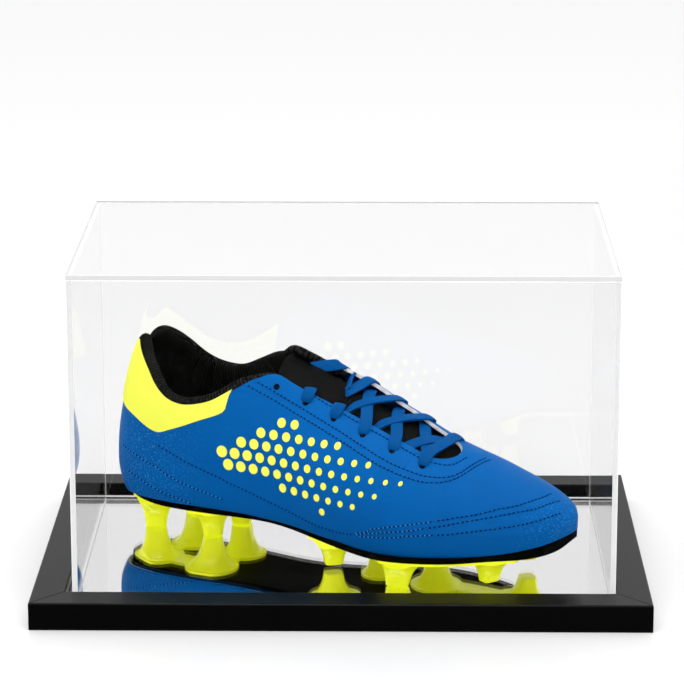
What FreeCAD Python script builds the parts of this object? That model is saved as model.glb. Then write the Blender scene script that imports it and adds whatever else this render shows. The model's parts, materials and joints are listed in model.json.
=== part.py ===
import FreeCAD, Part
import math
import os

# Boot display case: a clear lift-off cover standing on a mirror base with a black
# mitred rail, and the football boot shown in it. Millimetres, +Z up, front towards -Y.
# The case frame: origin at the middle of the underside.
# The boot frame: x from heel to toe, y to the boot's inner side, z up from the mirror.

V = FreeCAD.Vector

# Base rail, mirror and backing board
RAIL_WIDTH = 19.2
RAIL_BEVEL = 0.6
LIP_HEIGHT = 6.0          # rail top above the mirror
REBATE_DEPTH = 7.0        # how far the mirror runs in under the rail
SHEET_CLEARANCE = 0.4     # mirror and board edges to the rebate wall
MIRROR_THICKNESS = 3.0
BOARD_THICKNESS = 5.0
UNDERSIDE_RECESS = 1.3    # framer's points above the surface that the case stands on

# Framer's points hold the board up, corner wedges pull the mitres together
POINT_THICKNESS = 0.8
POINT_WIDTH = 8.0
POINT_IN_RAIL = 5.0
POINT_ON_BOARD = 9.0
POINTS_PER_LONG_RAIL = 3
POINTS_PER_SHORT_RAIL = 2
WEDGE_THICKNESS = 0.8
WEDGE_EDGE = 1.5          # rail left beyond the ends of a wedge
WEDGE_HEIGHT = 9.0
WEDGE_RECESS = 0.4

# Clear cover: the air left round the boot gives its size, and its gaps give the rail's
ACRYLIC = 3.0
AIR_LEFT = 12.1
AIR_RIGHT = 17.0
AIR_FRONT = 3.0
AIR_BACK = 10.83
AIR_ABOVE = 69.21
COVER_GAP_LEFT = 3.3      # cover to the rail
COVER_GAP_RIGHT = 0.3
COVER_GAP_FRONT = 4.3
COVER_GAP_BACK = 7.3

# Boot: turn on the mirror and layer thicknesses
BOOT_YAW = -26.0
UPPER_WALL = 3.0
LINING_WALL = 4.0
LINING_RISE = 2.5         # lining above the collar edge
LINING_DEPTH = 26.0       # lining below the collar edge
TONGUE_WALL = 3.0
LABEL_WALL = 0.8
SOCKLINER_THICKNESS = 4.0
PLATE_THICKNESS = 3.5
POD_THICKNESS = 1.5

# Boot last, heel to toe: x, lowest z, highest z, z of the widest level, outer half width,
# inner half width, roundness of the crown (2 is an ellipse), y of the crown
LAST = [
    (-7.5, 42.0, 54.0, 48.0, 4.0, 4.0, 2.0, 0.0),
    (-6.0, 35.0, 61.5, 47.0, 9.0, 9.0, 2.0, 0.0),
    (-2.0, 27.0, 79.0, 46.0, 16.5, 16.5, 2.0, 0.0),
    (4.0, 18.0, 106.0, 45.0, 22.5, 22.5, 2.1, 0.0),
    (12.0, 13.0, 122.0, 44.0, 27.0, 27.0, 2.3, 0.0),
    (26.0, 11.0, 132.0, 43.0, 30.5, 30.5, 2.6, 0.0),
    (48.0, 11.0, 134.0, 42.0, 31.5, 31.5, 2.8, 0.0),
    (75.0, 11.0, 130.0, 42.0, 30.5, 29.5, 2.7, 1.0),
    (100.0, 11.0, 121.0, 42.0, 31.5, 28.5, 2.4, 2.0),
    (125.0, 11.0, 110.0, 41.0, 36.0, 30.5, 2.1, 3.0),
    (155.0, 10.0, 97.0, 38.0, 44.5, 36.5, 1.95, 4.0),
    (185.0, 9.0, 84.5, 34.0, 50.0, 42.0, 1.9, 5.0),
    (215.0, 10.0, 72.5, 33.0, 47.5, 44.0, 1.95, 6.0),
    (240.0, 12.0, 63.5, 34.0, 41.0, 40.0, 2.1, 7.0),
    (260.0, 15.0, 56.5, 35.0, 32.0, 34.0, 2.2, 7.0),
    (274.0, 19.0, 51.0, 36.0, 21.5, 26.5, 2.3, 7.0),
    (283.0, 23.0, 46.5, 37.0, 11.5, 19.0, 2.3, 7.0),
    (287.5, 28.0, 42.5, 37.0, 3.0, 11.5, 2.2, 7.0),
    (288.8, 33.0, 40.0, 37.0, -3.0, 8.0, 2.0, 7.0),
]
LAST_POINTS = 20
LAST_FLOOR_ROUNDNESS = 3.5

# Side lines of the boot as (x, z)
SOLE_LINE = [(-40.0, 22.5), (0.0, 22.5), (60.0, 22.3), (115.0, 22.3), (157.0, 21.0), (185.0, 19.8),
             (205.0, 20.0), (234.0, 22.3), (252.0, 24.3), (266.0, 26.3), (278.0, 28.8), (286.0, 31.5),
             (290.0, 33.1), (320.0, 45.0)]
# Thicker towards the toe and rounded off at its tip
SOLE_THICKENING = [1.0, 1.0, 1.0, 1.0, 1.0, 1.0, 1.0, 1.0, 1.08, 1.57, 1.95, 1.7, 0.4, 0.4]
COLLAR_OUTER = [(-40.0, 117.0), (-8.0, 117.0), (8.0, 116.5), (14.0, 114.5), (24.4, 103.6), (32.0, 93.7),
                (40.0, 87.3), (50.0, 84.8), (60.0, 86.0), (70.0, 89.4), (82.0, 96.8), (89.0, 101.2),
                (98.0, 105.0), (110.0, 106.5)]
COLLAR_INNER = [(-40.0, 117.0), (-8.0, 117.0), (8.0, 116.5), (14.0, 114.5), (24.0, 106.0), (33.0, 98.8),
                (44.0, 94.0), (57.0, 92.6), (67.0, 94.4), (79.0, 99.0), (93.0, 104.5), (110.0, 107.5)]
HEEL_PANEL_EDGE = [(-40.0, 86.0), (-5.0, 82.5), (6.5, 78.0), (21.0, 70.0), (35.7, 65.5)]
HEEL_PANEL_FRONT = [HEEL_PANEL_EDGE[-1], (50.0, 71.4), (75.0, 80.6)]
HEEL_PANEL_TOP = [HEEL_PANEL_FRONT[-1], (79.0, 85.0), (81.7, 97.0), (84.0, 110.0)]
VAMP_SEAM = [(212.0, 120.0), (196.0, 62.0), (172.0, 0.0)]

# Throat and tongue in plan, as y on the outer and inner side
COLLAR_FRONT = 109.0
THROAT_END = 219.0
THROAT_OUTER = -16.0
THROAT_INNER = 13.0
THROAT_OPENING = 19.0     # throat running back into the collar
TONGUE_RISE = 5.0        # tongue behind the collar's front
TONGUE_UNDERLAP = 8.0     # tongue under the eyestay on each side
TONGUE_TOE_UNDERLAP = 7.0
LABEL_DROP = 0.8          # label below the tongue's top
LABEL_LENGTH = 45.0
LABEL_MARGIN = 0.8

# Lace and eyelets
LACE_DIAMETER = 3.2
LACE_SEAT = 0.2           # lace above the surface that it crosses
LACE_BEND = 1.5           # lace turning over the throat edge, this far inside it
LACE_LEAN = 0.3           # share of a row that a strap has climbed at the edge
LACE_LOOP = (4.0, 15.0)   # top rows: lace turning back this far inside the outer and the inner edge
ARC_SHARE = 0.45          # share of a run that each of its two arcs may take
EYELET_ROWS = 5           # laced rows; one more row stays empty at the collar's front
EYELET_SETBACK = 13.5     # front eyelets behind the throat's end
EYELET_INSET = 7.0        # eyelets beside the throat edge
SPARE_EYELET_DIAMETER = 3.2

# Sole outline as (x, y): outer side heel to toe, then inner side toe to heel
SOLE_OUTER = [(7.0, -15.0), (23.5, -25.5), (45.0, -29.5), (76.0, -28.0), (95.0, -26.5), (115.0, -28.5),
              (139.0, -36.5), (157.0, -43.0), (182.0, -49.5), (205.0, -48.8), (234.0, -43.0),
              (252.0, -35.0), (266.0, -26.0), (278.0, -15.0), (285.5, -5.0)]
SOLE_TOE = (288.6, 5.5)
SOLE_INNER = [(285.5, 15.0), (278.0, 22.5), (266.0, 30.0), (252.0, 36.5), (234.0, 41.0), (205.0, 43.5),
              (182.0, 40.5), (157.0, 33.5), (139.0, 28.0), (115.0, 24.5), (95.0, 25.0), (76.0, 27.0),
              (45.0, 29.5), (23.5, 25.5), (7.0, 15.0)]
SOLE_HEEL = (1.0, 0.0)

# Studs: tip x, y and z, tip length and width, turn in degrees, root x, root y, root radius
STUD_TAPER = 0.3          # share of the growth from tip to root that is even
STUD_FLARE_POWER = 3.4    # the rest comes close to the root
STUD_LEVELS = 7
STUD_POINTS = 16
STUD_RIM = 1.2            # flares cut off this far inside the sole's rim
POD_EDGE = 1.0            # pod beyond the stud's root
HEEL_STUDS = [(21.0, -12.0, 0.0, 12.5, 10.0, 25.0, 22.0, -11.0, 14.5),
              (60.0, -11.0, 0.0, 11.5, 10.0, 35.0, 60.5, -14.0, 15.5),
              (65.5, 15.5, 0.0, 11.5, 10.0, 10.0, 66.0, 16.5, 13.0),
              (31.0, 19.0, 0.0, 11.0, 10.0, -20.0, 29.5, 18.5, 12.5)]
HEEL_LINKS = [(0, 1, 15.0), (1, 2, 15.0)]
WAIST_STUDS = [(151.0, -29.5, 2.0, 10.5, 9.0, 40.0, 152.0, -30.0, 14.5),
               (158.0, 18.0, 2.0, 10.5, 9.0, -20.0, 160.0, 19.0, 12.5)]
FORE_STUDS = [(198.0, -40.5, 0.0, 13.0, 8.0, 10.0, 200.0, -36.0, 16.0),
              (247.0, -21.5, 4.6, 10.5, 8.5, 60.0, 249.0, -22.0, 15.5),
              (252.0, 22.5, 4.8, 10.0, 9.0, -45.0, 249.0, 20.5, 14.5),
              (198.0, 13.0, 0.2, 12.0, 9.0, -10.0, 198.0, 12.5, 14.5)]
FORE_LINKS = [(0, 1, 31.0), (2, 3, 14.0)]

# Places worked out from the sizes above
PLATE_LINE = [(x, z - PLATE_THICKNESS * k) for (x, z), k in zip(SOLE_LINE, SOLE_THICKENING)]
RAIL_HEIGHT = UNDERSIDE_RECESS + POINT_THICKNESS + BOARD_THICKNESS + MIRROR_THICKNESS + LIP_HEIGHT
MIRROR_TOP = RAIL_HEIGHT - LIP_HEIGHT
REBATE_WALL = RAIL_WIDTH - REBATE_DEPTH
THROAT_START = COLLAR_FRONT - THROAT_OPENING
TONGUE_TOP = COLLAR_FRONT - TONGUE_RISE
TONGUE_END = THROAT_END + TONGUE_TOE_UNDERLAP
EYELET_FRONT = THROAT_END - EYELET_SETBACK
EYELET_PITCH = (EYELET_FRONT - COLLAR_FRONT) / EYELET_ROWS
UPPER_HALF = max(station[3] for station in LAST)

# Cutting prisms run past the boot: half span across it, its top and its bottom
REACH = 2.0 * max(station[4] for station in LAST)
HIGH = 2.0 * max(station[2] for station in LAST)
LOW = -HIGH / 4.0


def box(x0, y0, z0, x1, y1, z1):
    return Part.makeBox(x1 - x0, y1 - y0, z1 - z0, V(x0, y0, z0))


def prism(points, direction):
    return Part.Face(Part.makePolygon(points + points[:1])).extrude(direction)


def spline(points):
    curve = Part.BSplineCurve()
    curve.interpolate(points)
    return curve.toShape()


def ring(points):
    """Closed smooth curve; even parameters keep the rings of a loft alike."""
    curve = Part.BSplineCurve()
    steps = [float(i) for i in range(len(points) + 1)]
    curve.interpolate(Points=points, PeriodicFlag=True, Parameters=steps)
    return Part.Wire(curve.toShape())


# Case sizes


class Case:
    """Case made round a boot: the boot's box gives the cover, and the cover gives the rail."""

    def __init__(self, boot_box):
        self.cover_x = (boot_box.XMin - AIR_LEFT - ACRYLIC, boot_box.XMax + AIR_RIGHT + ACRYLIC)
        self.cover_y = (boot_box.YMin - AIR_FRONT - ACRYLIC, boot_box.YMax + AIR_BACK + ACRYLIC)
        self.cover_top = boot_box.ZMax + AIR_ABOVE + ACRYLIC
        left = self.cover_x[0] - COVER_GAP_LEFT - RAIL_WIDTH
        right = self.cover_x[1] + COVER_GAP_RIGHT + RAIL_WIDTH
        front = self.cover_y[0] - COVER_GAP_FRONT - RAIL_WIDTH
        back = self.cover_y[1] + COVER_GAP_BACK + RAIL_WIDTH
        self.width = right - left
        self.depth = back - front
        self.to_middle = V(-(left + right) / 2.0, -(front + back) / 2.0, 0)


def room_of(nodes):
    """Box round a group of solids."""
    room = FreeCAD.BoundBox()
    for shape in nodes.values():
        room.add(shape.optimalBoundingBox(False, False))
    return room


# Case base


def rail(length):
    """One rail along X, outer face on y = 0, body towards +Y, ends mitred."""
    b = RAIL_BEVEL
    profile = [(0.0, 0.0), (0.0, RAIL_HEIGHT - b), (b, RAIL_HEIGHT), (RAIL_WIDTH - b, RAIL_HEIGHT),
               (RAIL_WIDTH, RAIL_HEIGHT - b), (RAIL_WIDTH, MIRROR_TOP), (REBATE_WALL, MIRROR_TOP),
               (REBATE_WALL, 0.0)]
    half = length / 2.0
    bar = prism([V(-half, y, z) for y, z in profile], V(length, 0, 0))
    for side in (-1.0, 1.0):
        past, deep = half + RAIL_WIDTH, 2.0 * RAIL_WIDTH
        end = [V(side * half, 0, 0), V(side * past, 0, 0), V(side * past, deep, 0),
               V(side * (half - deep), deep, 0)]
        bar = bar.cut(prism(end, V(0, 0, RAIL_HEIGHT)))
    return bar


def point_places(case):
    """Middles of the framer's points as (x, y, turn) on the rebate wall."""
    places = []
    for count, length, reach, turns in (
            (POINTS_PER_LONG_RAIL, case.width, case.depth, (0.0, 180.0)),
            (POINTS_PER_SHORT_RAIL, case.depth, case.width, (90.0, 270.0))):
        step = (length - 2 * RAIL_WIDTH) / count
        for turn in turns:
            for i in range(count):
                places.append(((i - (count - 1) / 2.0) * step, -reach / 2.0 + REBATE_WALL, turn))
    return places


def frame_points(case):
    top = MIRROR_TOP - MIRROR_THICKNESS - BOARD_THICKNESS
    points = []
    for along, wall, turn in point_places(case):
        tab = box(along - POINT_WIDTH / 2.0, wall - POINT_IN_RAIL, top - POINT_THICKNESS,
                  along + POINT_WIDTH / 2.0, wall + POINT_ON_BOARD, top)
        tab.rotate(V(0, 0, 0), V(0, 0, 1), turn)
        points.append(tab)
    return Part.makeCompound(points)


def corner_wedges(case):
    """One V-shaped wedge across the underside of each mitre."""
    t, middle = WEDGE_THICKNESS, REBATE_WALL / 2.0
    leg = middle + t / 2.0 - WEDGE_EDGE
    wedges = []
    for sx in (-1.0, 1.0):
        for sy in (-1.0, 1.0):
            outline = [(0, 0), (leg, 0), (leg, t), (t, t), (t, leg), (0, leg)]
            x0 = case.width / 2.0 - middle
            y0 = case.depth / 2.0 - middle
            wedges.append(prism([V(sx * (x0 - t / 2.0 + u), sy * (y0 - t / 2.0 + v), WEDGE_RECESS)
                                 for u, v in outline], V(0, 0, WEDGE_HEIGHT)))
    return Part.makeCompound(wedges)


def case_base(case):
    inner_x = case.width / 2.0 - REBATE_WALL - SHEET_CLEARANCE
    inner_y = case.depth / 2.0 - REBATE_WALL - SHEET_CLEARANCE
    board_top = MIRROR_TOP - MIRROR_THICKNESS
    points, wedges = frame_points(case), corner_wedges(case)
    nodes = {}
    for name, length, offset, turn in (("rail_front", case.width, case.depth, 0.0),
                                       ("rail_right", case.depth, case.width, 90.0),
                                       ("rail_back", case.width, case.depth, 180.0),
                                       ("rail_left", case.depth, case.width, 270.0)):
        bar = rail(length)
        bar.translate(V(0, -offset / 2.0, 0))
        bar.rotate(V(0, 0, 0), V(0, 0, 1), turn)
        nodes[name] = bar.cut(points).cut(wedges)
    nodes["mirror_sheet"] = box(-inner_x, -inner_y, board_top, inner_x, inner_y, MIRROR_TOP)
    nodes["base_board"] = box(-inner_x, -inner_y, board_top - BOARD_THICKNESS, inner_x, inner_y, board_top)
    nodes["frame_points"] = points
    nodes["corner_wedges"] = wedges
    return nodes


# Cover


def cover(case):
    x0, x1 = case.cover_x
    y0, y1 = case.cover_y
    low, top = MIRROR_TOP, case.cover_top
    wall_top, wall = top - ACRYLIC, ACRYLIC
    nodes = {
        "cover_front_panel": box(x0, y0, low, x1, y0 + wall, wall_top),
        "cover_back_panel": box(x0, y1 - wall, low, x1, y1, wall_top),
        "cover_left_panel": box(x0, y0 + wall, low, x0 + wall, y1 - wall, wall_top),
        "cover_right_panel": box(x1 - wall, y0 + wall, low, x1, y1 - wall, wall_top),
        "cover_top_panel": box(x0, y0, wall_top, x1, y1, top),
    }
    for panel in nodes.values():
        panel.translate(case.to_middle)
    return nodes


# Boot last and cutting prisms


def power(value, exponent):
    return math.copysign(abs(value) ** exponent, value)


def last_ring(station, inset):
    """Closed section of the last, drawn in by the inset; None where nothing is left of it."""
    x, low, high, level, outer, inner, crown, crown_y = station
    half = (outer + inner) / 2.0 - inset
    low, high = low + inset, high - inset
    if half < 1.0 or high - level < 1.0 or level - low < 1.0:
        return None
    first, last = LAST[0][0], LAST[-1][0]
    centre = (first + last) / 2.0
    x = centre + (x - centre) * (1.0 - 2.0 * inset / (last - first))
    middle = (inner - outer) / 2.0
    points = []
    for i in range(LAST_POINTS):
        angle = 2.0 * math.pi * i / LAST_POINTS
        c, s = math.cos(angle), math.sin(angle)
        roundness = crown if s >= 0.0 else LAST_FLOOR_ROUNDNESS
        across, up = power(c, 2.0 / roundness), power(s, 2.0 / roundness)
        rise = (high - level) if up >= 0.0 else (level - low)
        lean = (crown_y - middle) * max(up, 0.0) ** 1.5
        points.append(V(x, middle + half * across + lean, level + rise * up))
    return ring(points)


def last_form(inset):
    rings = [last_ring(station, inset) for station in LAST]
    return Part.makeLoft([wire for wire in rings if wire is not None], True, False)


def shifted(line, dz):
    return [(x, z + dz) for x, z in line]


def side_prism(line, close_z, y0, y1):
    """Everything between a side line and a level, from y0 to y1."""
    edge = [V(x, y0, z) for x, z in line]
    end, start = V(line[-1][0], y0, close_z), V(line[0][0], y0, close_z)
    wire = Part.Wire([spline(edge), Part.makeLine(edge[-1], end), Part.makeLine(end, start),
                      Part.makeLine(start, edge[0])])
    return Part.Face(wire).extrude(V(0, y1 - y0, 0))


def below(line, dz):
    return side_prism(shifted(line, dz), LOW, -REACH, REACH)


def above_collar(dz):
    outer = side_prism(shifted(COLLAR_OUTER, dz), HIGH, -REACH, 0.0)
    return outer.fuse(side_prism(shifted(COLLAR_INNER, dz), HIGH, 0.0, REACH))


def slot(x0, x1, y0, y1):
    """Plan slot with a round front end, full height."""
    radius = (y1 - y0) / 2.0
    middle = (y0 + y1) / 2.0
    start = x1 - radius
    corner = [V(x0, y0, LOW), V(start, y0, LOW), V(start, y1, LOW), V(x0, y1, LOW)]
    nose = Part.Arc(corner[1], V(x1, middle, LOW), corner[2]).toShape()
    wire = Part.Wire([Part.makeLine(corner[0], corner[1]), nose, Part.makeLine(corner[2], corner[3]),
                      Part.makeLine(corner[3], corner[0])])
    return Part.Face(wire).extrude(V(0, 0, HIGH - LOW))


def top_of(form, x, y):
    """Highest point of a form's largest face over (x, y)."""
    skin = max(form.Faces, key=lambda face: face.Area).Surface
    hits = Part.Line(V(x, y, LOW), V(x, y, HIGH)).intersectCS(skin)[0]
    return V(x, y, max(hit.Z for hit in hits))


# Lace


def rounded_path(points):
    """Straight runs joined by tangent arcs, each as large as its runs allow."""
    edges, start, least = [], points[0], HIGH
    for before, at, after in zip(points[:-2], points[1:-1], points[2:]):
        a, b = before - at, after - at
        half_turn = (math.pi - a.getAngle(b)) / 2.0
        reach = ARC_SHARE * min(a.Length, b.Length)
        least = min(least, reach / math.tan(half_turn))
        a.normalize()
        b.normalize()
        middle = a + b
        middle.normalize()
        radius = reach / math.tan(half_turn)
        bow = at + middle * (radius / math.cos(half_turn) - radius)
        entry, leave = at + a * reach, at + b * reach
        edges.append(Part.makeLine(start, entry))
        edges.append(Part.Arc(entry, bow, leave).toShape())
        start = leave
    edges.append(Part.makeLine(start, points[-1]))
    print("lace: least bend radius %.1f mm" % least)
    return Part.Wire(edges)


def tube(points, diameter):
    path = rounded_path(points)
    first = points[1] - points[0]
    profile = Part.Wire(Part.makeCircle(diameter / 2.0, points[0], first))
    shell = Part.BRepOffsetAPI.MakePipeShell(path)
    shell.add(profile)
    shell.build()
    shell.makeSolid()
    solid = shell.shape()
    area = math.pi * diameter ** 2 / 4.0
    print("lace: length %.0f mm, volume %.0f of %.0f mm3" % (path.Length, solid.Volume, path.Length * area))
    return solid


class Lacing:
    """Lace route over the last: a bar at the front, then crossings up to the last row."""

    def __init__(self, form):
        self.form = form
        self.over = LACE_DIAMETER / 2.0 + LACE_SEAT
        self.under = -(UPPER_WALL + LACE_DIAMETER / 2.0 + LACE_SEAT)
        self.middle = (THROAT_OUTER + THROAT_INNER) / 2.0

    def edge_y(self, side, inset):
        return THROAT_OUTER - inset if side < 0 else THROAT_INNER + inset

    def normal(self, x, y):
        step = 1.0
        here = top_of(self.form, x, y)
        along = top_of(self.form, x + step, y) - here
        across = top_of(self.form, x, y + step) - here
        up = along.cross(across)
        up.normalize()
        return here, up

    def at(self, x, y, height):
        here, up = self.normal(x, y)
        return here + up * height

    def row_x(self, row):
        return EYELET_FRONT - row * EYELET_PITCH

    def eyelet(self, row, side, height):
        return self.at(self.row_x(row), self.edge_y(side, EYELET_INSET), height)

    def strap(self, row, side, far_side, middle_y, lift):
        """Out of an eyelet, over its edge, across, and in under an edge one row further back."""
        near, far = self.row_x(row), self.row_x(row + 1)
        climb = (far - near) * LACE_LEAN
        return [self.eyelet(row, side, self.under),
                self.eyelet(row, side, self.over),
                self.at(near + climb, self.edge_y(side, -LACE_BEND), self.over),
                self.at((near + far) / 2.0, middle_y, lift),
                self.at(far - climb, self.edge_y(far_side, -LACE_BEND), self.under + LACE_DIAMETER / 2.0)]

    def branch(self, side, lift, loop):
        """One half of the lace: crossings, then two rows that turn back under their own edge."""
        points = [self.eyelet(0, side, self.under)]
        for row in range(1, EYELET_ROWS - 2):
            points += self.strap(row, side, -side, self.middle, lift)
            side = -side
        for row in range(EYELET_ROWS - 2, EYELET_ROWS):
            points += self.strap(row, side, side, self.edge_y(side, -loop), lift)
        return points

    def route(self):
        low = -UPPER_WALL + LACE_DIAMETER / 2.0 + LACE_SEAT
        high = low + LACE_DIAMETER + LACE_SEAT
        outer = self.branch(-1.0, low, LACE_LOOP[0])
        inner = self.branch(1.0, high, LACE_LOOP[1])
        front = self.row_x(0)
        bar = [self.eyelet(0, -1.0, self.over),
               self.at(front, self.edge_y(-1.0, -LACE_BEND), self.over),
               self.at(front + LACE_BEND, self.middle, high),
               self.at(front, self.edge_y(1.0, -LACE_BEND), self.over),
               self.eyelet(0, 1.0, self.over)]
        return outer[::-1] + bar + inner


# Studs


def sole_low(x):
    """Height of the plate's underside at x."""
    edge = spline([V(a, 0, b) for a, b in PLATE_LINE])
    return edge.distToShape(Part.makeLine(V(x, 0, LOW), V(x, 0, HIGH)))[1][0][0].z


def stud(place):
    """One stud: a flat squarish tip flaring to a round root whose top lies in the pod's thickness."""
    x, y, tip, length, width, turn, root_x, root_y, radius = place
    low = sole_low(root_x)
    slope = (sole_low(root_x + radius) - sole_low(root_x - radius)) / (2.0 * radius)
    top = low - POD_THICKNESS / 2.0
    rings = []
    for level in range(STUD_LEVELS):
        share = 1.0 - (1.0 - level / (STUD_LEVELS - 1.0)) ** 2
        grow = STUD_TAPER * share + (1.0 - STUD_TAPER) * share ** STUD_FLARE_POWER
        half_length = length / 2.0 + (radius - length / 2.0) * grow
        half_width = width / 2.0 + (radius - width / 2.0) * grow
        squareness = (1.0 + share) / 2.0
        centre = V(x + (root_x - x) * grow, y + (root_y - y) * grow, 0)
        points = []
        for i in range(STUD_POINTS):
            angle = 2.0 * math.pi * (i + 0.5) / STUD_POINTS
            flat = FreeCAD.Rotation(V(0, 0, 1), turn).multVec(
                V(half_length * power(math.cos(angle), squareness),
                  half_width * power(math.sin(angle), squareness), 0))
            height = tip + share * (top - tip) + slope * flat.x * share
            points.append(centre + V(flat.x, flat.y, height))
        rings.append(ring(points))
    return Part.makeLoft(rings, True, False)


def stud_set(places, links, under_plate):
    """Studs on their pods, joined where a web runs between them."""
    tall = HIGH - LOW
    shapes = [Part.makeCylinder(p[8] + POD_EDGE, tall, V(p[6], p[7], LOW)) for p in places]
    for i, j, width in links:
        a, b = V(places[i][6], places[i][7], LOW), V(places[j][6], places[j][7], LOW)
        across = (b - a).cross(V(0, 0, 1))
        across.normalize()
        across = across * (width / 2.0)
        shapes.append(prism([a + across, b + across, b - across, a - across], V(0, 0, tall)))
    pods = shapes[0].multiFuse(shapes[1:]).cut(below(PLATE_LINE, -POD_THICKNESS))
    pods = pods.common(under_plate)
    inside_rim = plate_outline(STUD_RIM)
    for place in places:
        pods = pods.fuse(stud(place).common(inside_rim))
    return pods


def plate_outline(inset):
    """Full-height prism of the sole's outline, drawn in by the inset."""
    rim = [V(x, y, LOW) for x, y in SOLE_OUTER + [SOLE_TOE] + SOLE_INNER + [SOLE_HEEL]]
    points = []
    for before, here, after in zip(rim[-1:] + rim[:-1], rim, rim[1:] + rim[:1]):
        inward = V(0, 0, 1).cross(after - before)
        inward.normalize()
        points.append(here + inward * inset)
    return Part.Face(ring(points)).extrude(V(0, 0, HIGH - LOW))


# Boot


def boot():
    outer = last_form(0.0)
    inner = last_form(UPPER_WALL)
    lining_core = last_form(UPPER_WALL + LINING_WALL)
    tongue_core = last_form(UPPER_WALL + TONGUE_WALL)
    label_skin = last_form(UPPER_WALL - LABEL_WALL)
    sole = below(SOLE_LINE, 0.0)
    collar = above_collar(0.0).common(box(-REACH, -REACH, LOW, COLLAR_FRONT, REACH, HIGH))
    throat = slot(THROAT_START, THROAT_END, THROAT_OUTER, THROAT_INNER)
    lacing = Lacing(outer)
    lace = tube(lacing.route(), LACE_DIAMETER)

    spare_x = lacing.row_x(EYELET_ROWS)
    shell = outer.cut(inner).cut(sole).cut(collar).cut(throat).cut(lace)
    for side in (-1.0, 1.0):
        at, up = lacing.normal(spare_x, lacing.edge_y(side, EYELET_INSET))
        through = 2.0 * UPPER_WALL
        hole = Part.makeCylinder(SPARE_EYELET_DIAMETER / 2.0, 2.0 * through, at - up * through, up)
        shell = shell.cut(hole)
    heel_line = [spline([V(x, -REACH, z) for x, z in HEEL_PANEL_EDGE]),
                 spline([V(x, -REACH, z) for x, z in HEEL_PANEL_FRONT]),
                 spline([V(x, -REACH, z) for x, z in HEEL_PANEL_TOP])]
    start, end = HEEL_PANEL_EDGE[0], HEEL_PANEL_TOP[-1]
    corners = [V(end[0], -REACH, end[1]), V(end[0], -REACH, HIGH), V(start[0], -REACH, HIGH),
               V(start[0], -REACH, start[1])]
    heel_wire = Part.Wire(heel_line + [Part.makeLine(a, b) for a, b in zip(corners[:-1], corners[1:])])
    heel_zone = Part.Face(heel_wire).extrude(V(0, 2.0 * REACH, 0))
    seam = VAMP_SEAM + [(REACH * 4.0, VAMP_SEAM[-1][1]), (REACH * 4.0, VAMP_SEAM[0][1])]
    vamp_zone = prism([V(x, -REACH, z) for x, z in seam], V(0, 2.0 * REACH, 0))
    quarters = shell.cut(heel_zone).cut(vamp_zone)
    outer_half = box(-REACH, -REACH, LOW, REACH * 4.0, 0.0, HIGH)

    tongue_zone = slot(TONGUE_TOP, TONGUE_END, THROAT_OUTER - TONGUE_UNDERLAP, THROAT_INNER + TONGUE_UNDERLAP)
    crown = box(-REACH, -REACH, UPPER_HALF, REACH * 4.0, REACH, HIGH)
    tongue = inner.cut(tongue_core).common(tongue_zone).common(crown)
    label_x = TONGUE_TOP + LABEL_DROP
    label_zone = box(label_x, THROAT_OUTER + LABEL_MARGIN, UPPER_HALF,
                     label_x + LABEL_LENGTH, THROAT_INNER - LABEL_MARGIN, HIGH)
    label = label_skin.cut(inner).common(label_zone)

    lining = inner.cut(lining_core).common(above_collar(-LINING_DEPTH)).cut(above_collar(LINING_RISE))
    lining = lining.common(box(-REACH, -REACH, LOW, COLLAR_FRONT, REACH, HIGH)).cut(tongue_zone)
    sockliner = inner.cut(sole).common(below(SOLE_LINE, SOCKLINER_THICKNESS))
    outline = plate_outline(0.0)
    under_plate = outline.common(below(PLATE_LINE, 0.0))
    plate = outline.common(sole).cut(under_plate)
    nodes = {
        "boot_vamp": shell.common(vamp_zone),
        "boot_quarter_outer": quarters.common(outer_half),
        "boot_quarter_inner": quarters.cut(outer_half),
        "boot_heel_panel": shell.common(heel_zone),
        "boot_collar_lining": lining,
        "boot_tongue": tongue.cut(lace),
        "boot_tongue_label": label.cut(lace),
        "boot_lace": lace,
        "boot_sockliner": sockliner,
        "boot_sole_plate": plate,
        "boot_heel_studs": stud_set(HEEL_STUDS, HEEL_LINKS, under_plate),
        "boot_waist_studs": stud_set(WAIST_STUDS, [], under_plate),
        "boot_fore_studs": stud_set(FORE_STUDS, FORE_LINKS, under_plate),
    }
    for shape in nodes.values():
        shape.rotate(V(0, 0, 0), V(0, 0, 1), BOOT_YAW)
        shape.translate(V(0, 0, MIRROR_TOP))
    return nodes


shown_boot = boot()
boot_case = Case(room_of(shown_boot))
for shape in shown_boot.values():
    shape.translate(boot_case.to_middle)
print("case %.2f x %.2f mm, cover top %.2f mm, boot origin at %.2f, %.2f" % (
    boot_case.width, boot_case.depth, boot_case.cover_top, boot_case.to_middle.x, boot_case.to_middle.y))

os.makedirs("parts", exist_ok=True)
for group in (case_base(boot_case), cover(boot_case), shown_boot):
    for node, shape in group.items():
        facts = (node, len(shape.Solids), shape.Volume, shape.isValid())
        print("%-20s solids %2d volume %10.1f valid %s" % facts)
        shape.exportStep("parts/%s.step" % node)
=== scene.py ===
import json
import logging
import math
from dataclasses import dataclass, field, replace
from enum import Enum
from functools import partial
from typing import Callable, Sequence, Union

import bmesh
import bpy
from bmesh.types import BMesh
from bpy.types import ID, Material, Node, NodeSocket, NodeTree, Object
from mathutils import Matrix, Vector, noise

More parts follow.
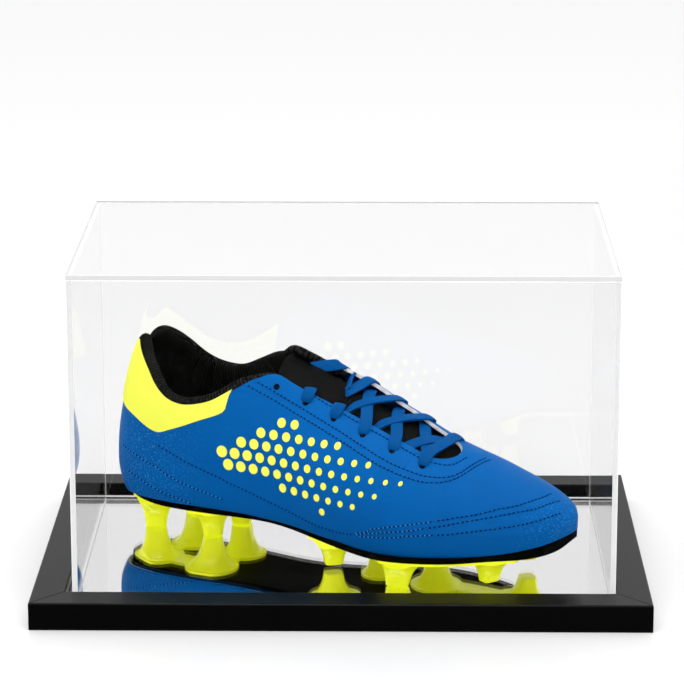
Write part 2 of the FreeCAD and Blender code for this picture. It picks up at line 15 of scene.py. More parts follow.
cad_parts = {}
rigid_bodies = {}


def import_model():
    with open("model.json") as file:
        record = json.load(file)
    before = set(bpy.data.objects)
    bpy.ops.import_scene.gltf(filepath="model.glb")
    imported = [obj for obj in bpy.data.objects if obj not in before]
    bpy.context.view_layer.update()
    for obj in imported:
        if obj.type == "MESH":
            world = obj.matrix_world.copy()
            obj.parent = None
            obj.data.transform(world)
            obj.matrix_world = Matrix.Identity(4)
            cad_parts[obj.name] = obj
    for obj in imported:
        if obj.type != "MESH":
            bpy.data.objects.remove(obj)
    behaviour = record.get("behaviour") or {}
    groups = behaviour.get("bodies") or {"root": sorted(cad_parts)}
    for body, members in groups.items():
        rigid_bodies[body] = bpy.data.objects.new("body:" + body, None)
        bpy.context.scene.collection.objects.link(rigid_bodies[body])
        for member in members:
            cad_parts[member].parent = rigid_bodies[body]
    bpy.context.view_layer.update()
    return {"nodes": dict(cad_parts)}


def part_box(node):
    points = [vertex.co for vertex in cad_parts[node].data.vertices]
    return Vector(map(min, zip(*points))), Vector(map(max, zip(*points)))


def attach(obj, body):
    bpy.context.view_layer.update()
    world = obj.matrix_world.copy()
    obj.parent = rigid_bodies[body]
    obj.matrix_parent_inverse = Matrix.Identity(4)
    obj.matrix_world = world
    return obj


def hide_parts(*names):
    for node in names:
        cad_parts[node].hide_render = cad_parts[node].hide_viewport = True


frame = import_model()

LOG = logging.getLogger("boot_case")
MM = 0.001
IMAGE_HEIGHT = 700
FLAT = 0.99


# Shader kit


def operator(kind: str, swapped: bool = False) -> Callable[["Value", "Number"], "Value"]:
    """Makes an operator for Value.

    Args:
        kind: operation of the Math node.
        swapped: True when the other term comes first.

    Returns:
        The operator.
    """
    def apply(value: "Value", other: "Number") -> "Value":
        """Adds the Math node."""
        return value.nodes.math(kind, *((other, value) if swapped else (value, other)))
    return apply


class Value:
    """A number socket; arithmetic on it adds Math nodes."""

    def __init__(self, nodes: "Nodes", socket: NodeSocket) -> None:
        """Keeps the socket and the nodes that it belongs to."""
        self.nodes = nodes
        self.socket = socket

    __add__, __radd__ = operator("ADD"), operator("ADD", True)
    __sub__, __rsub__ = operator("SUBTRACT"), operator("SUBTRACT", True)
    __mul__, __rmul__ = operator("MULTIPLY"), operator("MULTIPLY", True)
    __truediv__ = operator("DIVIDE")
    __lt__, __gt__ = operator("LESS_THAN"), operator("GREATER_THAN")


Number = Union[Value, float]
Colour = tuple[float, float, float]
WHITE = (1.0, 1.0, 1.0, 1.0)


class Nodes:
    """A node tree and short ways to add to it."""

    def __init__(self, tree: NodeTree) -> None:
        """Keeps the tree and empties it."""
        self.tree = tree
        tree.nodes.clear()

    def node(self, kind: str, settings: dict | None = None, inputs: dict | None = None) -> Node:
        """Adds any node.

        Args:
            kind: Blender's type name.
            settings: the node's own settings.
            inputs: values or links of its sockets, by name or number.

        Returns:
            The node.
        """
        made = self.tree.nodes.new(kind)
        for key, value in (settings or {}).items():
            setattr(made, key, value)
        for key, value in (inputs or {}).items():
            self.feed(made.inputs[key], value)
        return made

    def feed(self, socket: NodeSocket, value: object) -> None:
        """Links a socket or sets its value.

        Args:
            socket: the input.
            value: a Value, another node's socket, or a constant.
        """
        source = value.socket if isinstance(value, Value) else value
        if isinstance(source, NodeSocket):
            self.tree.links.new(source, socket)
        else:
            socket.default_value = source

    def math(self, operation: str, *terms: Number) -> Value:
        """Adds a Math node with its inputs."""
        made = self.node("ShaderNodeMath", {"operation": operation}, dict(enumerate(terms)))
        return Value(self, made.outputs[0])

    def clamp(self, value: Value) -> Value:
        """The value held between 0 and 1."""
        return Value(self, self.node("ShaderNodeClamp", inputs={"Value": value}).outputs[0])

    def mix(self, factor: Number, a: object, b: object) -> NodeSocket:
        """Mixes two colours or colour sockets, 0 for the first and 1 for the second."""
        inputs = {0: factor, 6: rgba(a), 7: rgba(b)}
        return self.node("ShaderNodeMix", {"data_type": "RGBA"}, inputs).outputs[2]

    def place(self, output: str = "Object") -> NodeSocket:
        """Texture coordinates of the piece."""
        return self.node("ShaderNodeTexCoord").outputs[output]

    def path(self, output: str) -> Value:
        """What the renderer knows about the ray."""
        return Value(self, self.node("ShaderNodeLightPath").outputs[output])

    def blend(self, factor: Value, a: Node, b: Node) -> Node:
        """Mixes two shaders, 0 for the first and 1 for the second."""
        return self.node("ShaderNodeMixShader", inputs={0: factor, 1: a.outputs[0], 2: b.outputs[0]})

    def noise(self, scale: float, detail: float = 2.0) -> Value:
        """Noise from 0 to 1 on the piece, with scale in lumps per metre."""
        inputs = {"Vector": self.place(), "Scale": scale, "Detail": detail}
        return Value(self, self.node("ShaderNodeTexNoise", inputs=inputs).outputs[0])

    def axes(self, vector: NodeSocket) -> tuple[Value, Value, Value]:
        """The three parts of a vector."""
        split = self.node("ShaderNodeSeparateXYZ", inputs={0: vector})
        return tuple(Value(self, split.outputs[i]) for i in range(3))


class Shader(Nodes):
    """One material whose surface is a Principled shader."""

    def __init__(self, name: str) -> None:
        """Starts the material under its name."""
        self.material = bpy.data.materials.new(name)
        self.material.use_nodes = True
        super().__init__(self.material.node_tree)
        self.output = self.node("ShaderNodeOutputMaterial")
        self.body = self.node("ShaderNodeBsdfPrincipled")
        self.feed(self.output.inputs["Surface"], self.body.outputs[0])

    def dress(self, **sockets: object) -> None:
        """Feeds the Principled shader's sockets, with underscores for spaces."""
        for key, value in sockets.items():
            self.feed(self.body.inputs[key.replace("_", " ")], value)

    def bump(self, height: Value, strength: float, depth: float) -> None:
        """Feeds the shader's Normal from a height of 0 to 1 over a depth in metres."""
        inputs = {"Strength": strength, "Distance": depth, "Height": height}
        self.dress(Normal=self.node("ShaderNodeBump", inputs=inputs).outputs[0])


def rgba(colour: object) -> object:
    """A colour with its alpha, or a socket as it is."""
    return (*colour, 1.0) if isinstance(colour, tuple) and len(colour) == 3 else colour


# Finishes


class Print(Enum):
    """What is printed on a piece of leather."""

    PLAIN = "plain"
    DOTS = "dots"


@dataclass(frozen=True)
class DotField:
    """Staggered dots on the side of the boot, in boot millimetres, smaller towards the toe."""

    pitch: float = 8.6
    rear_x: float = 72.0
    front_x: float = 205.0
    rear_radius: float = 3.7
    front_radius: float = 1.1
    edges: tuple = ((85.0, 121.0, -0.301, -1.0), (55.0, 69.0, -0.235, 1.0),
                    (55.0, 69.0, 0.577, -1.0), (35.0, 154.0, 0.5, 1.0))

    def lattice(self, shader: Shader, x: Value, z: Value, shift: float) -> Value:
        """One square lattice of the staggered pair.

        Args:
            shader: the material.
            x: boot x in millimetres.
            z: boot z in millimetres.
            shift: 0 or a half cell.

        Returns:
            1 inside its dots.
        """
        tall = self.pitch * math.sqrt(3.0)
        centre_x = (shader.math("FLOOR", x / self.pitch + shift) + (0.5 - shift)) * self.pitch
        centre_z = (shader.math("FLOOR", z / tall + shift) + (0.5 - shift)) * tall
        distance = shader.math("SQRT", shader.math("POWER", x - centre_x, 2.0)
                               + shader.math("POWER", z - centre_z, 2.0))
        share = shader.clamp((centre_x - self.rear_x) / (self.front_x - self.rear_x))
        radius = self.rear_radius + share * (self.front_radius - self.rear_radius)
        inside = shader.clamp((radius - distance) * 6.0)
        for level, start, slope, sense in self.edges:
            inside = inside * ((centre_z - ((centre_x - start) * slope + level)) * sense > 0.0)
        return inside

    def mask(self, shader: Shader, x: Value, z: Value) -> Value:
        """1 on the dots, 0 beside them."""
        return shader.math("MAXIMUM", self.lattice(shader, x, z, 0.0), self.lattice(shader, x, z, 0.5))


@dataclass(frozen=True)
class Leather:
    """Synthetic leather with a fine pebble grain, with painted highlight specks at the heel and the toe where
    it is printed.
    """

    name: str
    colour: Colour
    shade: Colour
    roughness: float = 0.46
    grain: float = 0.16
    print_kind: Print = Print.PLAIN
    ink: Colour = (0.97, 1.0, 0.11)
    # Painted highlight: colour and places of the pale glint specks on the grain.
    painted_glint: Colour = (0.05, 0.3, 0.72)
    heel_glints: tuple[float, float] = (72.0, 40.0)
    toe_glints: tuple[float, float] = (262.0, 20.0)

    def build(self, boot_place: "BootPlace") -> Material:
        """Makes the material.

        Args:
            boot_place: where the boot stands, for its prints.

        Returns:
            The material.
        """
        shader = Shader(self.name)
        cells = shader.node("ShaderNodeTexVoronoi", {"feature": "SMOOTH_F1"},
                            {"Vector": shader.place(), "Scale": 1050.0, "Smoothness": 0.7})
        pebble = Value(shader, cells.outputs["Distance"])
        cloud = shader.noise(38.0, 3.0)
        colour = shader.mix(shader.clamp(cloud * 1.6 - 0.4), self.colour, self.shade)
        if self.print_kind is Print.DOTS:
            x, _, z = shader.axes(boot_place.local(shader))
            # Painted highlight: pale specks at the heel and the toe stand in for glints on the grain.
            (heel, heel_length), (toe, toe_length) = self.heel_glints, self.toe_glints
            glint_zone = shader.clamp((heel - x) / heel_length) + shader.clamp((x - toe) / toe_length)
            glint_specks = shader.clamp((shader.noise(1000.0) - 0.55) * 8.0)
            colour = shader.mix(glint_zone * glint_specks * 0.5, colour, self.painted_glint)
            colour = shader.mix(DotField().mask(shader, x, z), colour, self.ink)
        shader.dress(Base_Color=colour, Roughness=self.roughness + (cloud - 0.5) * 0.16,
                     Specular_IOR_Level=0.04)
        shader.bump(pebble * 0.7 + shader.noise(2600.0) * 0.3, self.grain, 0.0006)
        return shader.material


@dataclass(frozen=True)
class Cloth:
    """Woven or knitted cloth; its ribs follow the piece's UV map."""

    name: str
    colour: Colour
    light: Colour
    ribs_across: float
    ribs_along: float
    relief: float = 0.5
    roughness: float = 0.85

    def build(self) -> Material:
        """Makes the material."""
        shader = Shader(self.name)
        u, v, _ = shader.axes(shader.place("UV"))
        across = shader.math("SINE", u * (self.ribs_along * math.tau))
        along = shader.math("COSINE", v * (self.ribs_across * math.tau))
        weave = shader.clamp(across * along * 0.5 + 0.5)
        fuzz = shader.noise(1500.0)
        shader.dress(Base_Color=shader.mix(weave * 0.6 + fuzz * 0.4, self.colour, self.light),
                     Roughness=self.roughness - weave * 0.1, Specular_IOR_Level=0.05)
        shader.bump(weave * 0.8 + fuzz * 0.2, self.relief, 0.0005)
        return shader.material


@dataclass(frozen=True)
class Moulded:
    """Moulded plastic or rubber with a fine skin."""

    name: str
    colour: Colour
    shade: Colour
    roughness: float
    skin: float
    relief: float
    coat: float = 0.0
    # Painted light: emission that brightens the plastic as if it were lit.
    painted_glow: float = 0.0
    shine: float = 0.06

    def build(self) -> Material:
        """Makes the material; its emission is painted light that brightens the plastic as if it were lit."""
        shader = Shader(self.name)
        cloud = shader.noise(30.0, 3.0)
        fine = shader.noise(self.skin, 2.0)
        colour = shader.mix(cloud, self.colour, self.shade)
        shader.dress(Base_Color=colour, Coat_Weight=self.coat, Roughness=self.roughness + (fine - 0.5) * 0.12,
                     Emission_Color=colour, Emission_Strength=self.painted_glow, Specular_IOR_Level=self.shine)
        shader.bump(fine, self.relief, 0.0003)
        return shader.material


@dataclass(frozen=True)
class Lacquer:
    """Black satin lacquer on the rail."""

    name: str = "rail_lacquer"

    def build(self) -> Material:
        """Makes the material."""
        shader = Shader(self.name)
        grain = shader.noise(9.0, 4.0)
        fine = shader.noise(700.0)
        shader.dress(Base_Color=shader.mix(grain, (0.0008, 0.0008, 0.0008), (0.002, 0.002, 0.0022)),
                     Roughness=0.3 + fine * 0.08, Specular_IOR_Level=0.13)
        shader.bump(fine, 0.03, 0.0002)
        return shader.material


@dataclass(frozen=True)
class Mottled:
    """Hard finish whose colour and gloss drift with one noise."""

    name: str
    colour: Colour
    shade: Colour
    scale: float
    detail: float
    roughness: float
    drift: float
    polished: float = 0.0
    relief: float = 0.0
    fixed: tuple = ()

    def build(self) -> Material:
        """Makes the material; noise below polished adds no roughness."""
        shader = Shader(self.name)
        cloud = shader.noise(self.scale, self.detail)
        shader.dress(Base_Color=shader.mix(cloud, self.colour, self.shade),
                     Roughness=self.roughness + shader.clamp(cloud - self.polished) * self.drift,
                     **dict(self.fixed))
        if self.relief:
            shader.bump(cloud, self.relief, 0.0004)
        return shader.material


METAL = (("Metallic", 1.0),)
SILVERING = Mottled("mirror_silver", (0.96, 0.955, 0.955), (0.94, 0.935, 0.935), 14.0, 3.0, 0.0, 0.02, 0.45,
                    fixed=METAL)
ACRYLIC = Mottled("clear_acrylic", (0.985, 0.985, 0.985), (0.965, 0.965, 0.967), 22.0, 4.0, 0.0, 0.02, 0.5,
                  fixed=(("Transmission_Weight", 1.0), ("IOR", 1.4)))
FIBREBOARD = Mottled("fibreboard", (0.3, 0.2, 0.115), (0.42, 0.3, 0.19), 420.0, 4.0, 0.8, 0.12, relief=0.25)
STEEL = Mottled("fastener_steel", (0.5, 0.51, 0.52), (0.62, 0.62, 0.63), 240.0, 4.0, 0.3, 0.2, fixed=METAL)


def cut_edge(name: str, painted_glow: float) -> Mottled:
    """Sawn and flamed edge of acrylic: milky, with emission that paints in the light that the sheet gathers.
    """
    edge_light_paint = (("Emission_Color", WHITE), ("Emission_Strength", painted_glow), ("Specular_IOR_Level", 0.1))
    return Mottled(name, (0.4, 0.4, 0.4), (0.46, 0.46, 0.46), 500.0, 3.0, 0.3, 0.2, fixed=edge_light_paint)


# Curves and the boot's form


def smooth_step(low: float, high: float, value: float) -> float:
    """0 below low, 1 above high, and a smooth rise between them."""
    t = min(max((value - low) / (high - low), 0.0), 1.0)
    return t * t * (3.0 - 2.0 * t)


def bisect(low: float, high: float, before: Callable[[float], bool], rounds: int = 40) -> float:
    """Finds where a test turns from true to false.

    Args:
        low: start of the search, where the test is true.
        high: its end.
        before: the test.
        rounds: how often the search halves.

    Returns:
        The place.
    """
    for _ in range(rounds):
        middle = (low + high) / 2.0
        low, high = (middle, high) if before(middle) else (low, middle)
    return (low + high) / 2.0


def cubic(knots: Sequence[Sequence[float]], i: int, t: float) -> list[float]:
    """Catmull-Rom values between two knots.

    Args:
        knots: rows of values.
        i: the knot before.
        t: share of the way to the next.

    Returns:
        The values there.
    """
    end = len(knots) - 1
    rows = (knots[max(i - 1, 0)], knots[i], knots[i + 1], knots[min(i + 2, end)])
    return [q + 0.5 * t * (r - p + t * (2 * p - 5 * q + 4 * r - s + t * (3 * (q - r) + s - p)))
            for p, q, r, s in zip(*rows)]


@dataclass(frozen=True)
class Line:
    """A smooth height over x through a few points."""

    points: tuple

    def at(self, x: float) -> float:
        """Height of the line.

        Args:
            x: where; beyond the ends the line is flat.

        Returns:
            The height.
        """
        pts = self.points
        if x <= pts[0][0]:
            return pts[0][1]
        for i in range(len(pts) - 1):
            (x0, y0), (x1, y1) = pts[i], pts[i + 1]
            if x <= x1:
                before, after = pts[max(i - 1, 0)], pts[min(i + 2, len(pts) - 1)]
                width, t = x1 - x0, (x - x0) / (x1 - x0)
                m0 = (y1 - before[1]) / (x1 - before[0]) * width
                m1 = (after[1] - y0) / (after[0] - x0) * width
                return (y0 * (1 + 2 * t) * (1 - t) ** 2 + m0 * t * (1 - t) ** 2
                        + y1 * t * t * (3 - 2 * t) + m1 * t * t * (t - 1))
        return pts[-1][1]


@dataclass(frozen=True)
class BootPlace:
    """Where the boot stands in the case, in metres, and its turn."""

    origin: Vector = Vector((-0.12798, 0.05659, 0.0101))
    yaw: float = math.radians(-26.0)

    def world(self, point: Vector) -> Vector:
        """A boot point in millimetres, in the case's metres."""
        return self.origin + Matrix.Rotation(self.yaw, 3, "Z") @ (point * MM)

    def turn(self, direction: Vector) -> Vector:
        """A boot direction in the case's frame."""
        return Matrix.Rotation(self.yaw, 3, "Z") @ direction

    def grain(self, point: Vector, turn: Matrix, size: tuple) -> Matrix:
        """Matrix that makes a unit ball a flat grain at a boot point, with half sizes in millimetres."""
        return Matrix.Translation(self.world(point)) @ turn @ Matrix.Diagonal((*(Vector(size) * MM), 1.0))

    def local(self, shader: Shader) -> NodeSocket:
        """Boot coordinates in millimetres, for a material."""
        back = Matrix.Rotation(-self.yaw, 3, "Z")
        inputs = {"Vector": shader.place(), "Location": -(back @ self.origin) / MM,
                  "Rotation": (0.0, 0.0, -self.yaw), "Scale": (1 / MM, 1 / MM, 1 / MM)}
        return shader.node("ShaderNodeMapping", inputs=inputs).outputs[0]


class Side(Enum):
    """Which half of the boot; the value is the sign of y."""

    OUTER = -1.0
    INNER = 1.0


HEEL_TOP = ((-8, 106.5), (4.5, 107.5), (7, 110.5), (10, 114.6), (12, 115.7), (14, 114.5))


@dataclass
class Last:
    """The boot's form: stations from heel to toe, and the edges of its upper.

    A station is x, lowest z, highest z, z of the widest level, outer half width, inner half width,
    roundness of the crown and y of the crown, all in boot millimetres.
    """

    stations: tuple = (
        (-8, 48, 48, 48, 0, 0, 2, 0), (-7.5, 42, 54, 48, 4, 4, 2, 0),
        (-6, 35, 61.5, 47, 9, 9, 2, 0), (-2, 27, 79, 46, 16.5, 16.5, 2, 0),
        (4, 18, 106, 45, 22.5, 22.5, 2.1, 0), (12, 13, 122, 44, 27, 27, 2.3, 0),
        (26, 11, 132, 43, 30.5, 30.5, 2.6, 0), (48, 11, 134, 42, 31.5, 31.5, 2.8, 0),
        (75, 11, 130, 42, 30.5, 29.5, 2.7, 1), (100, 11, 121, 42, 31.5, 28.5, 2.4, 2),
        (125, 11, 110, 41, 36, 30.5, 2.1, 3), (155, 10, 97, 38, 44.5, 36.5, 1.95, 4),
        (185, 9, 84.5, 34, 50, 42, 1.9, 5), (215, 10, 72.5, 33, 47.5, 44, 1.95, 6),
        (240, 12, 63.5, 34, 41, 40, 2.1, 7), (260, 15, 56.5, 35, 32, 34, 2.2, 7),
        (274, 19, 51, 36, 21.5, 26.5, 2.3, 7), (283, 23, 46.5, 37, 11.5, 19, 2.3, 7),
        (287.5, 28, 42.5, 37, 3, 11.5, 2.2, 7), (288.8, 33, 40, 37, -3, 8, 2, 7),
        (289.3, 36.8, 36.8, 36.8, -5.5, 5.5, 2, 5.5))
    floor_roundness: float = 3.5
    sole: Line = Line(((-40, 22.5), (0, 22.5), (60, 22.3), (115, 22.3), (157, 21), (185, 19.8),
                       (205, 20), (234, 22.3), (252, 24.3), (266, 26.3), (278, 28.8),
                       (286, 31.5), (320, 45)))
    collar_outer: Line = Line(HEEL_TOP + (
        (24.4, 103.6), (32, 93.7), (40, 87.3), (50, 84.8), (60, 86), (70, 89.4), (82, 96.8),
        (89, 101.2), (98, 105), (110, 106.5)))
    collar_inner: Line = Line(HEEL_TOP + (
        (24, 106), (33, 98.8), (44, 94), (57, 92.6), (67, 94.4), (79, 99), (93, 104.5),
        (110, 107.5)))
    throat_end: float = 219.0
    throat_outer: float = -16.0
    throat_inner: float = 13.0
    toe_y: float = 7.0
    toe_x: float = 265.0
    corner_start: float = 96.0
    corner_end: float = 116.0
    table_step: float = 0.01
    nudge: float = 0.02
    edges: dict = field(default_factory=dict)

    def __post_init__(self) -> None:
        """Works out the upper's lower and upper edge along both sides once."""
        steps = int(round((len(self.stations) - 1) / self.table_step))
        places = [i * self.table_step for i in range(steps + 1)]
        for side in Side:
            self.edges[side] = [(self.sole_angle(u, side), self.top_angle(u, side)) for u in places]

    def station(self, u: float) -> list[float]:
        """Station values at a place between stations."""
        i = min(max(int(u), 0), len(self.stations) - 2)
        return cubic(self.stations, i, u - i)

    def u_at(self, x: float) -> float:
        """The place whose station lies at x."""
        return bisect(0.0, len(self.stations) - 1.0, lambda u: self.station(u)[0] < x)

    def point(self, u: float, angle: float, inset: float = 0.0) -> Vector:
        """A point of the form.

        Args:
            u: place along the stations.
            angle: place round the section, 0 inner, 90 degrees crown, 180 outer.
            inset: how far the form is drawn in.

        Returns:
            The point in boot millimetres.
        """
        x, low, high, level, outer, inner, crown, crown_y = self.station(u)
        first, last = self.stations[1][0], self.stations[-2][0]
        centre = (first + last) / 2.0
        x = centre + (x - centre) * (1.0 - 2.0 * inset / (last - first))
        half = max((outer + inner) / 2.0 - inset, 0.0)
        middle = (inner - outer) / 2.0
        c, s = math.cos(angle), math.sin(angle)
        power = 2.0 / (crown if s >= 0.0 else self.floor_roundness)
        across = math.copysign(abs(c) ** power, c)
        up = math.copysign(abs(s) ** power, s)
        rise = max(high - inset - level, 0.0) if s >= 0.0 else max(level - low - inset, 0.0)
        lean = (crown_y - middle) * max(up, 0.0) ** 1.5
        return Vector((x, middle + half * across + lean, level + rise * up))

    def normal(self, u: float, angle: float, inset: float = 0.0) -> Vector:
        """Outward normal of the form in the boot's frame."""
        along = self.point(u + self.nudge, angle, inset) - self.point(u - self.nudge, angle, inset)
        around = self.point(u, angle + self.nudge, inset) - self.point(u, angle - self.nudge, inset)
        return along.cross(around).normalized() * -1.0

    def angle_at_z(self, u: float, z: float, side: Side, inset: float = 0.0) -> float:
        """Where a side of the section passes a height.

        Args:
            u: place along the stations.
            z: the height; beyond the section it gives the crown or the floor.
            side: half of the boot.
            inset: how far the form is drawn in.

        Returns:
            The angle.
        """
        _, low, high, level, _, _, crown, _ = self.station(u)
        if z >= level:
            rise, roundness, sign = high - inset - level, crown, 1.0
        else:
            rise, roundness, sign = level - low - inset, self.floor_roundness, -1.0
        share = 1.0 if rise <= 0.0 else min(abs(z - level) / rise, 1.0)
        climb = sign * math.asin(share ** (roundness / 2.0))
        return climb if side is Side.INNER else math.pi - climb

    def angle_at_y(self, u: float, y: float, inset: float = 0.0) -> float:
        """Angle over the crown where the section passes a y."""
        return bisect(0.0, math.pi, lambda angle: self.point(u, angle, inset).y > y, rounds=26)

    def angle_near(self, u: float, y: float, z: float) -> float:
        """Finds the point of a section nearest to (y, z).

        Args:
            u: place along the stations.
            y: the wanted y.
            z: the wanted height.

        Returns:
            The point's angle.
        """
        def gap(angle: float) -> float:
            """Squared distance from the point at an angle."""
            p = self.point(u, angle)
            return (p.y - y) ** 2 + (p.z - z) ** 2
        step, best = math.radians(6.0), min((math.radians(6.0 * i) for i in range(60)), key=gap)
        while step > 1e-4:
            step /= 2.0
            best = min((best - step, best, best + step), key=gap)
        return best

    def sole_angle(self, u: float, side: Side) -> float:
        """Lower edge of the upper, on the sole plate.

        Args:
            u: place along the stations.
            side: half of the boot.

        Returns:
            The angle.
        """
        x, low, *_ = self.station(u)
        level = self.sole.at(x)
        if level <= low:
            return -math.pi / 2.0 if side is Side.INNER else 1.5 * math.pi
        return self.angle_at_z(u, level, side)

    def throat_y(self, x: float, side: Side) -> float:
        """Edge of the throat in plan, or the line where the halves meet in front of it.

        Args:
            x: boot x.
            side: half of the boot.

        Returns:
            The y there.
        """
        radius = (self.throat_inner - self.throat_outer) / 2.0
        middle = (self.throat_inner + self.throat_outer) / 2.0
        if x >= self.throat_end:
            return middle + (self.toe_y - middle) * smooth_step(self.throat_end, self.toe_x, x)
        ahead = max(x - (self.throat_end - radius), 0.0)
        return middle + side.value * math.sqrt(max(radius ** 2 - ahead ** 2, 0.0))

    def top_angle(self, u: float, side: Side, inset: float = 0.0, drop: float = 0.0) -> float:
        """Upper edge of the upper: collar, a round corner, then the throat.

        Args:
            u: place along the stations.
            side: half of the boot.
            inset: how far the form is drawn in.
            drop: how far below the collar edge.

        Returns:
            The angle.
        """
        x = self.station(u)[0]
        collar = (self.collar_outer if side is Side.OUTER else self.collar_inner).at(x) - drop
        at_collar = self.angle_at_z(u, collar, side, inset)
        if x <= self.corner_start:
            return at_collar
        at_throat = self.angle_at_y(u, self.throat_y(x, side), inset)
        share = smooth_step(self.corner_start, self.corner_end, x)
        return at_collar + (at_throat - at_collar) * share

    def span(self, u: float, side: Side) -> tuple[float, float]:
        """Edges of the upper at a place, from the table.

        Args:
            u: place along the stations.
            side: half of the boot.

        Returns:
            Lower and upper angle.
        """
        rows = self.edges[side]
        where = min(max(u / self.table_step, 0.0), len(rows) - 1.001)
        i, t = int(where), where - int(where)
        return tuple(a + (b - a) * t for a, b in zip(rows[i], rows[i + 1]))


# Mesh helpers


@dataclass(frozen=True)
class Sheet:
    """A grid laid over a surface: columns run along it and rows across it."""

    columns: int
    rows: int
    place: Callable[[float, float], Vector]

    def add_to(self, bm: BMesh) -> None:
        """Adds the grid to a mesh; place takes shares from 0 to 1 and gives metres."""
        made = bmesh.ops.create_grid(bm, x_segments=self.columns, y_segments=self.rows, size=0.5,
                                     calc_uvs=True)
        for vert in made["verts"]:
            vert.co = self.place(vert.co.x + 0.5, vert.co.y + 0.5)


def new_mesh() -> BMesh:
    """An empty mesh with a UV map."""
    bm = bmesh.new()
    bm.loops.layers.uv.new("UVMap")
    return bm

def mesh_of(*sheets: Sheet) -> BMesh:
    """A mesh of one or more sheets."""
    bm = new_mesh()
    for sheet in sheets:
        sheet.add_to(bm)
    return bm


def finish_piece(bm: BMesh, name: str, material: Material, body: str,
                 nodes: Sequence[str] = (), outward: Vector | None = None,
                 merge: float = 1e-5) -> Object:
    """Turns a mesh into a piece of the part.

    Args:
        bm: the mesh, freed here.
        name: name of the piece.
        material: its material.
        body: the body that it rides on.
        nodes: the CAD nodes that it stands for.
        outward: a point inside, when the faces are to look away from it.
        merge: distance within which points join.

    Returns:
        The object.
    """
    bmesh.ops.remove_doubles(bm, verts=bm.verts[:], dist=merge)
    bmesh.ops.dissolve_degenerate(bm, edges=bm.edges[:], dist=1e-7)
    if outward is not None:
        bmesh.ops.recalc_face_normals(bm, faces=bm.faces[:])
        away = (face.normal.dot(face.calc_center_median() - outward) * face.calc_area() for face in bm.faces)
        if sum(away) < 0.0:
            bmesh.ops.reverse_faces(bm, faces=bm.faces[:])
    for face in bm.faces:
        face.smooth = True
    mesh = bpy.data.meshes.new(name)
    bm.to_mesh(mesh)
    bm.free()
    mesh.materials.append(material)
    piece = bpy.data.objects.new(name, mesh)
    bpy.context.scene.collection.objects.link(piece)
    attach(piece, body)
    if nodes:
        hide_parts(*nodes)
    LOG.info("%s: %d faces", name, len(mesh.polygons))
    return piece


def thicken(piece: Object, wall: float, edge: float, offset: float = -1.0,
            rim: Material | None = None) -> None:
    """Gives a sheet its wall and a rounded rim.

    Args:
        piece: the sheet.
        wall: thickness in metres.
        edge: rounding of the rim in metres.
        offset: -1 inwards, 1 outwards.
        rim: material of the cut edge, where it differs.
    """
    solid = piece.modifiers.new("wall", "SOLIDIFY")
    solid.thickness, solid.offset = wall, offset
    if rim is not None:
        piece.data.materials.append(rim)
        solid.material_offset_rim = 1
    bevel_edges(piece, "edge", edge, 3, 50.0)


def bevel_edges(piece: Object, name: str, width: float, segments: int, sharp: float) -> None:
    """Rounds the edges of a piece with a modifier.

    Args:
        piece: the object.
        name: name of the modifier.
        width: rounding in metres.
        segments: its steps.
        sharp: angle in degrees over which an edge is rounded.
    """
    bevel = piece.modifiers.new(name, "BEVEL")
    bevel.width, bevel.segments, bevel.profile = width, segments, 0.5
    bevel.limit_method, bevel.angle_limit = "ANGLE", math.radians(sharp)


# Case


@dataclass(frozen=True)
class Slab:
    """A flat sheet of the case, in the space of its CAD node and with two finishes."""

    node: str
    body: str
    slot: str
    edge: float
    gap: float = 0.0

    def make(self, name: str, main: Material, other: Material,
             takes_other: Callable[[Vector, Vector], bool]) -> None:
        """Makes the piece.

        Args:
            name: name of the piece.
            main: finish of most faces.
            other: finish of the rest.
            takes_other: tells from a face's normal and the sheet's size whether it takes the other finish.
        """
        low, high = (Vector(corner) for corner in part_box(self.node))
        size = high - low - Vector((2.0, 2.0, 2.0)) * self.gap
        bm = new_mesh()
        bmesh.ops.create_cube(bm, size=1.0, calc_uvs=True,
                              matrix=Matrix.Translation((low + high) / 2.0) @ Matrix.Diagonal((*size, 1.0)))
        bmesh.ops.bevel(bm, geom=bm.edges[:], offset=self.edge, segments=2, profile=0.5, affect="EDGES",
                        material=-1)
        for face in bm.faces:
            face.material_index = int(takes_other(face.normal, size))
        piece = finish_piece(bm, name, main, self.body, [self.node])
        piece.data.materials.append(other)
        for face in piece.data.polygons:
            face.use_smooth = False


def looks_down(normal: Vector, size: Vector) -> bool:
    """Whether a face is the back of a lying sheet."""
    return normal.z < -FLAT


def on_rim(normal: Vector, size: Vector) -> bool:
    """Whether a face is on the rim of a sheet."""
    thin = min(range(3), key=lambda axis: size[axis])
    return abs(normal[thin]) <= FLAT


@dataclass
class CaseBase:
    """Rail, board and hidden fasteners, which show as CAD solids with better finishes, and the mirror."""

    finishes: dict = field(default_factory=lambda: {
        Lacquer(): ("rail_front", "rail_back", "rail_left", "rail_right"),
        FIBREBOARD: ("base_board",),
        STEEL: ("frame_points", "corner_wedges")})
    edge: float = 0.0003

    def ease(self, name: str) -> None:
        """Takes the sharpness off a rail's edges, so that the mitres show."""
        rail = frame["nodes"][name]
        rail.modifiers.new("weld", "WELD").merge_threshold = 1e-6
        bevel_edges(rail, "eased_edges", self.edge, 2, 30.0)

    def build(self) -> None:
        """Makes the mirror, a clear sheet with a silvered back, and dresses the other nodes."""
        clear = replace(ACRYLIC, name="mirror_clear").build()
        sheet = Slab("mirror_sheet", "base", "mirror", self.edge)
        sheet.make("mirror", clear, SILVERING.build(), looks_down)
        for finish, nodes in self.finishes.items():
            material = finish.build()
            for node in nodes:
                dress_node(node, material)
                if isinstance(finish, Lacquer):
                    self.ease(node)


def dress_node(name: str, material: Material) -> None:
    """Gives a CAD node one material."""
    mesh = frame["nodes"][name].data
    mesh.materials.clear()
    mesh.materials.append(material)
    LOG.info("%s: CAD solid, %s", name, material.name)


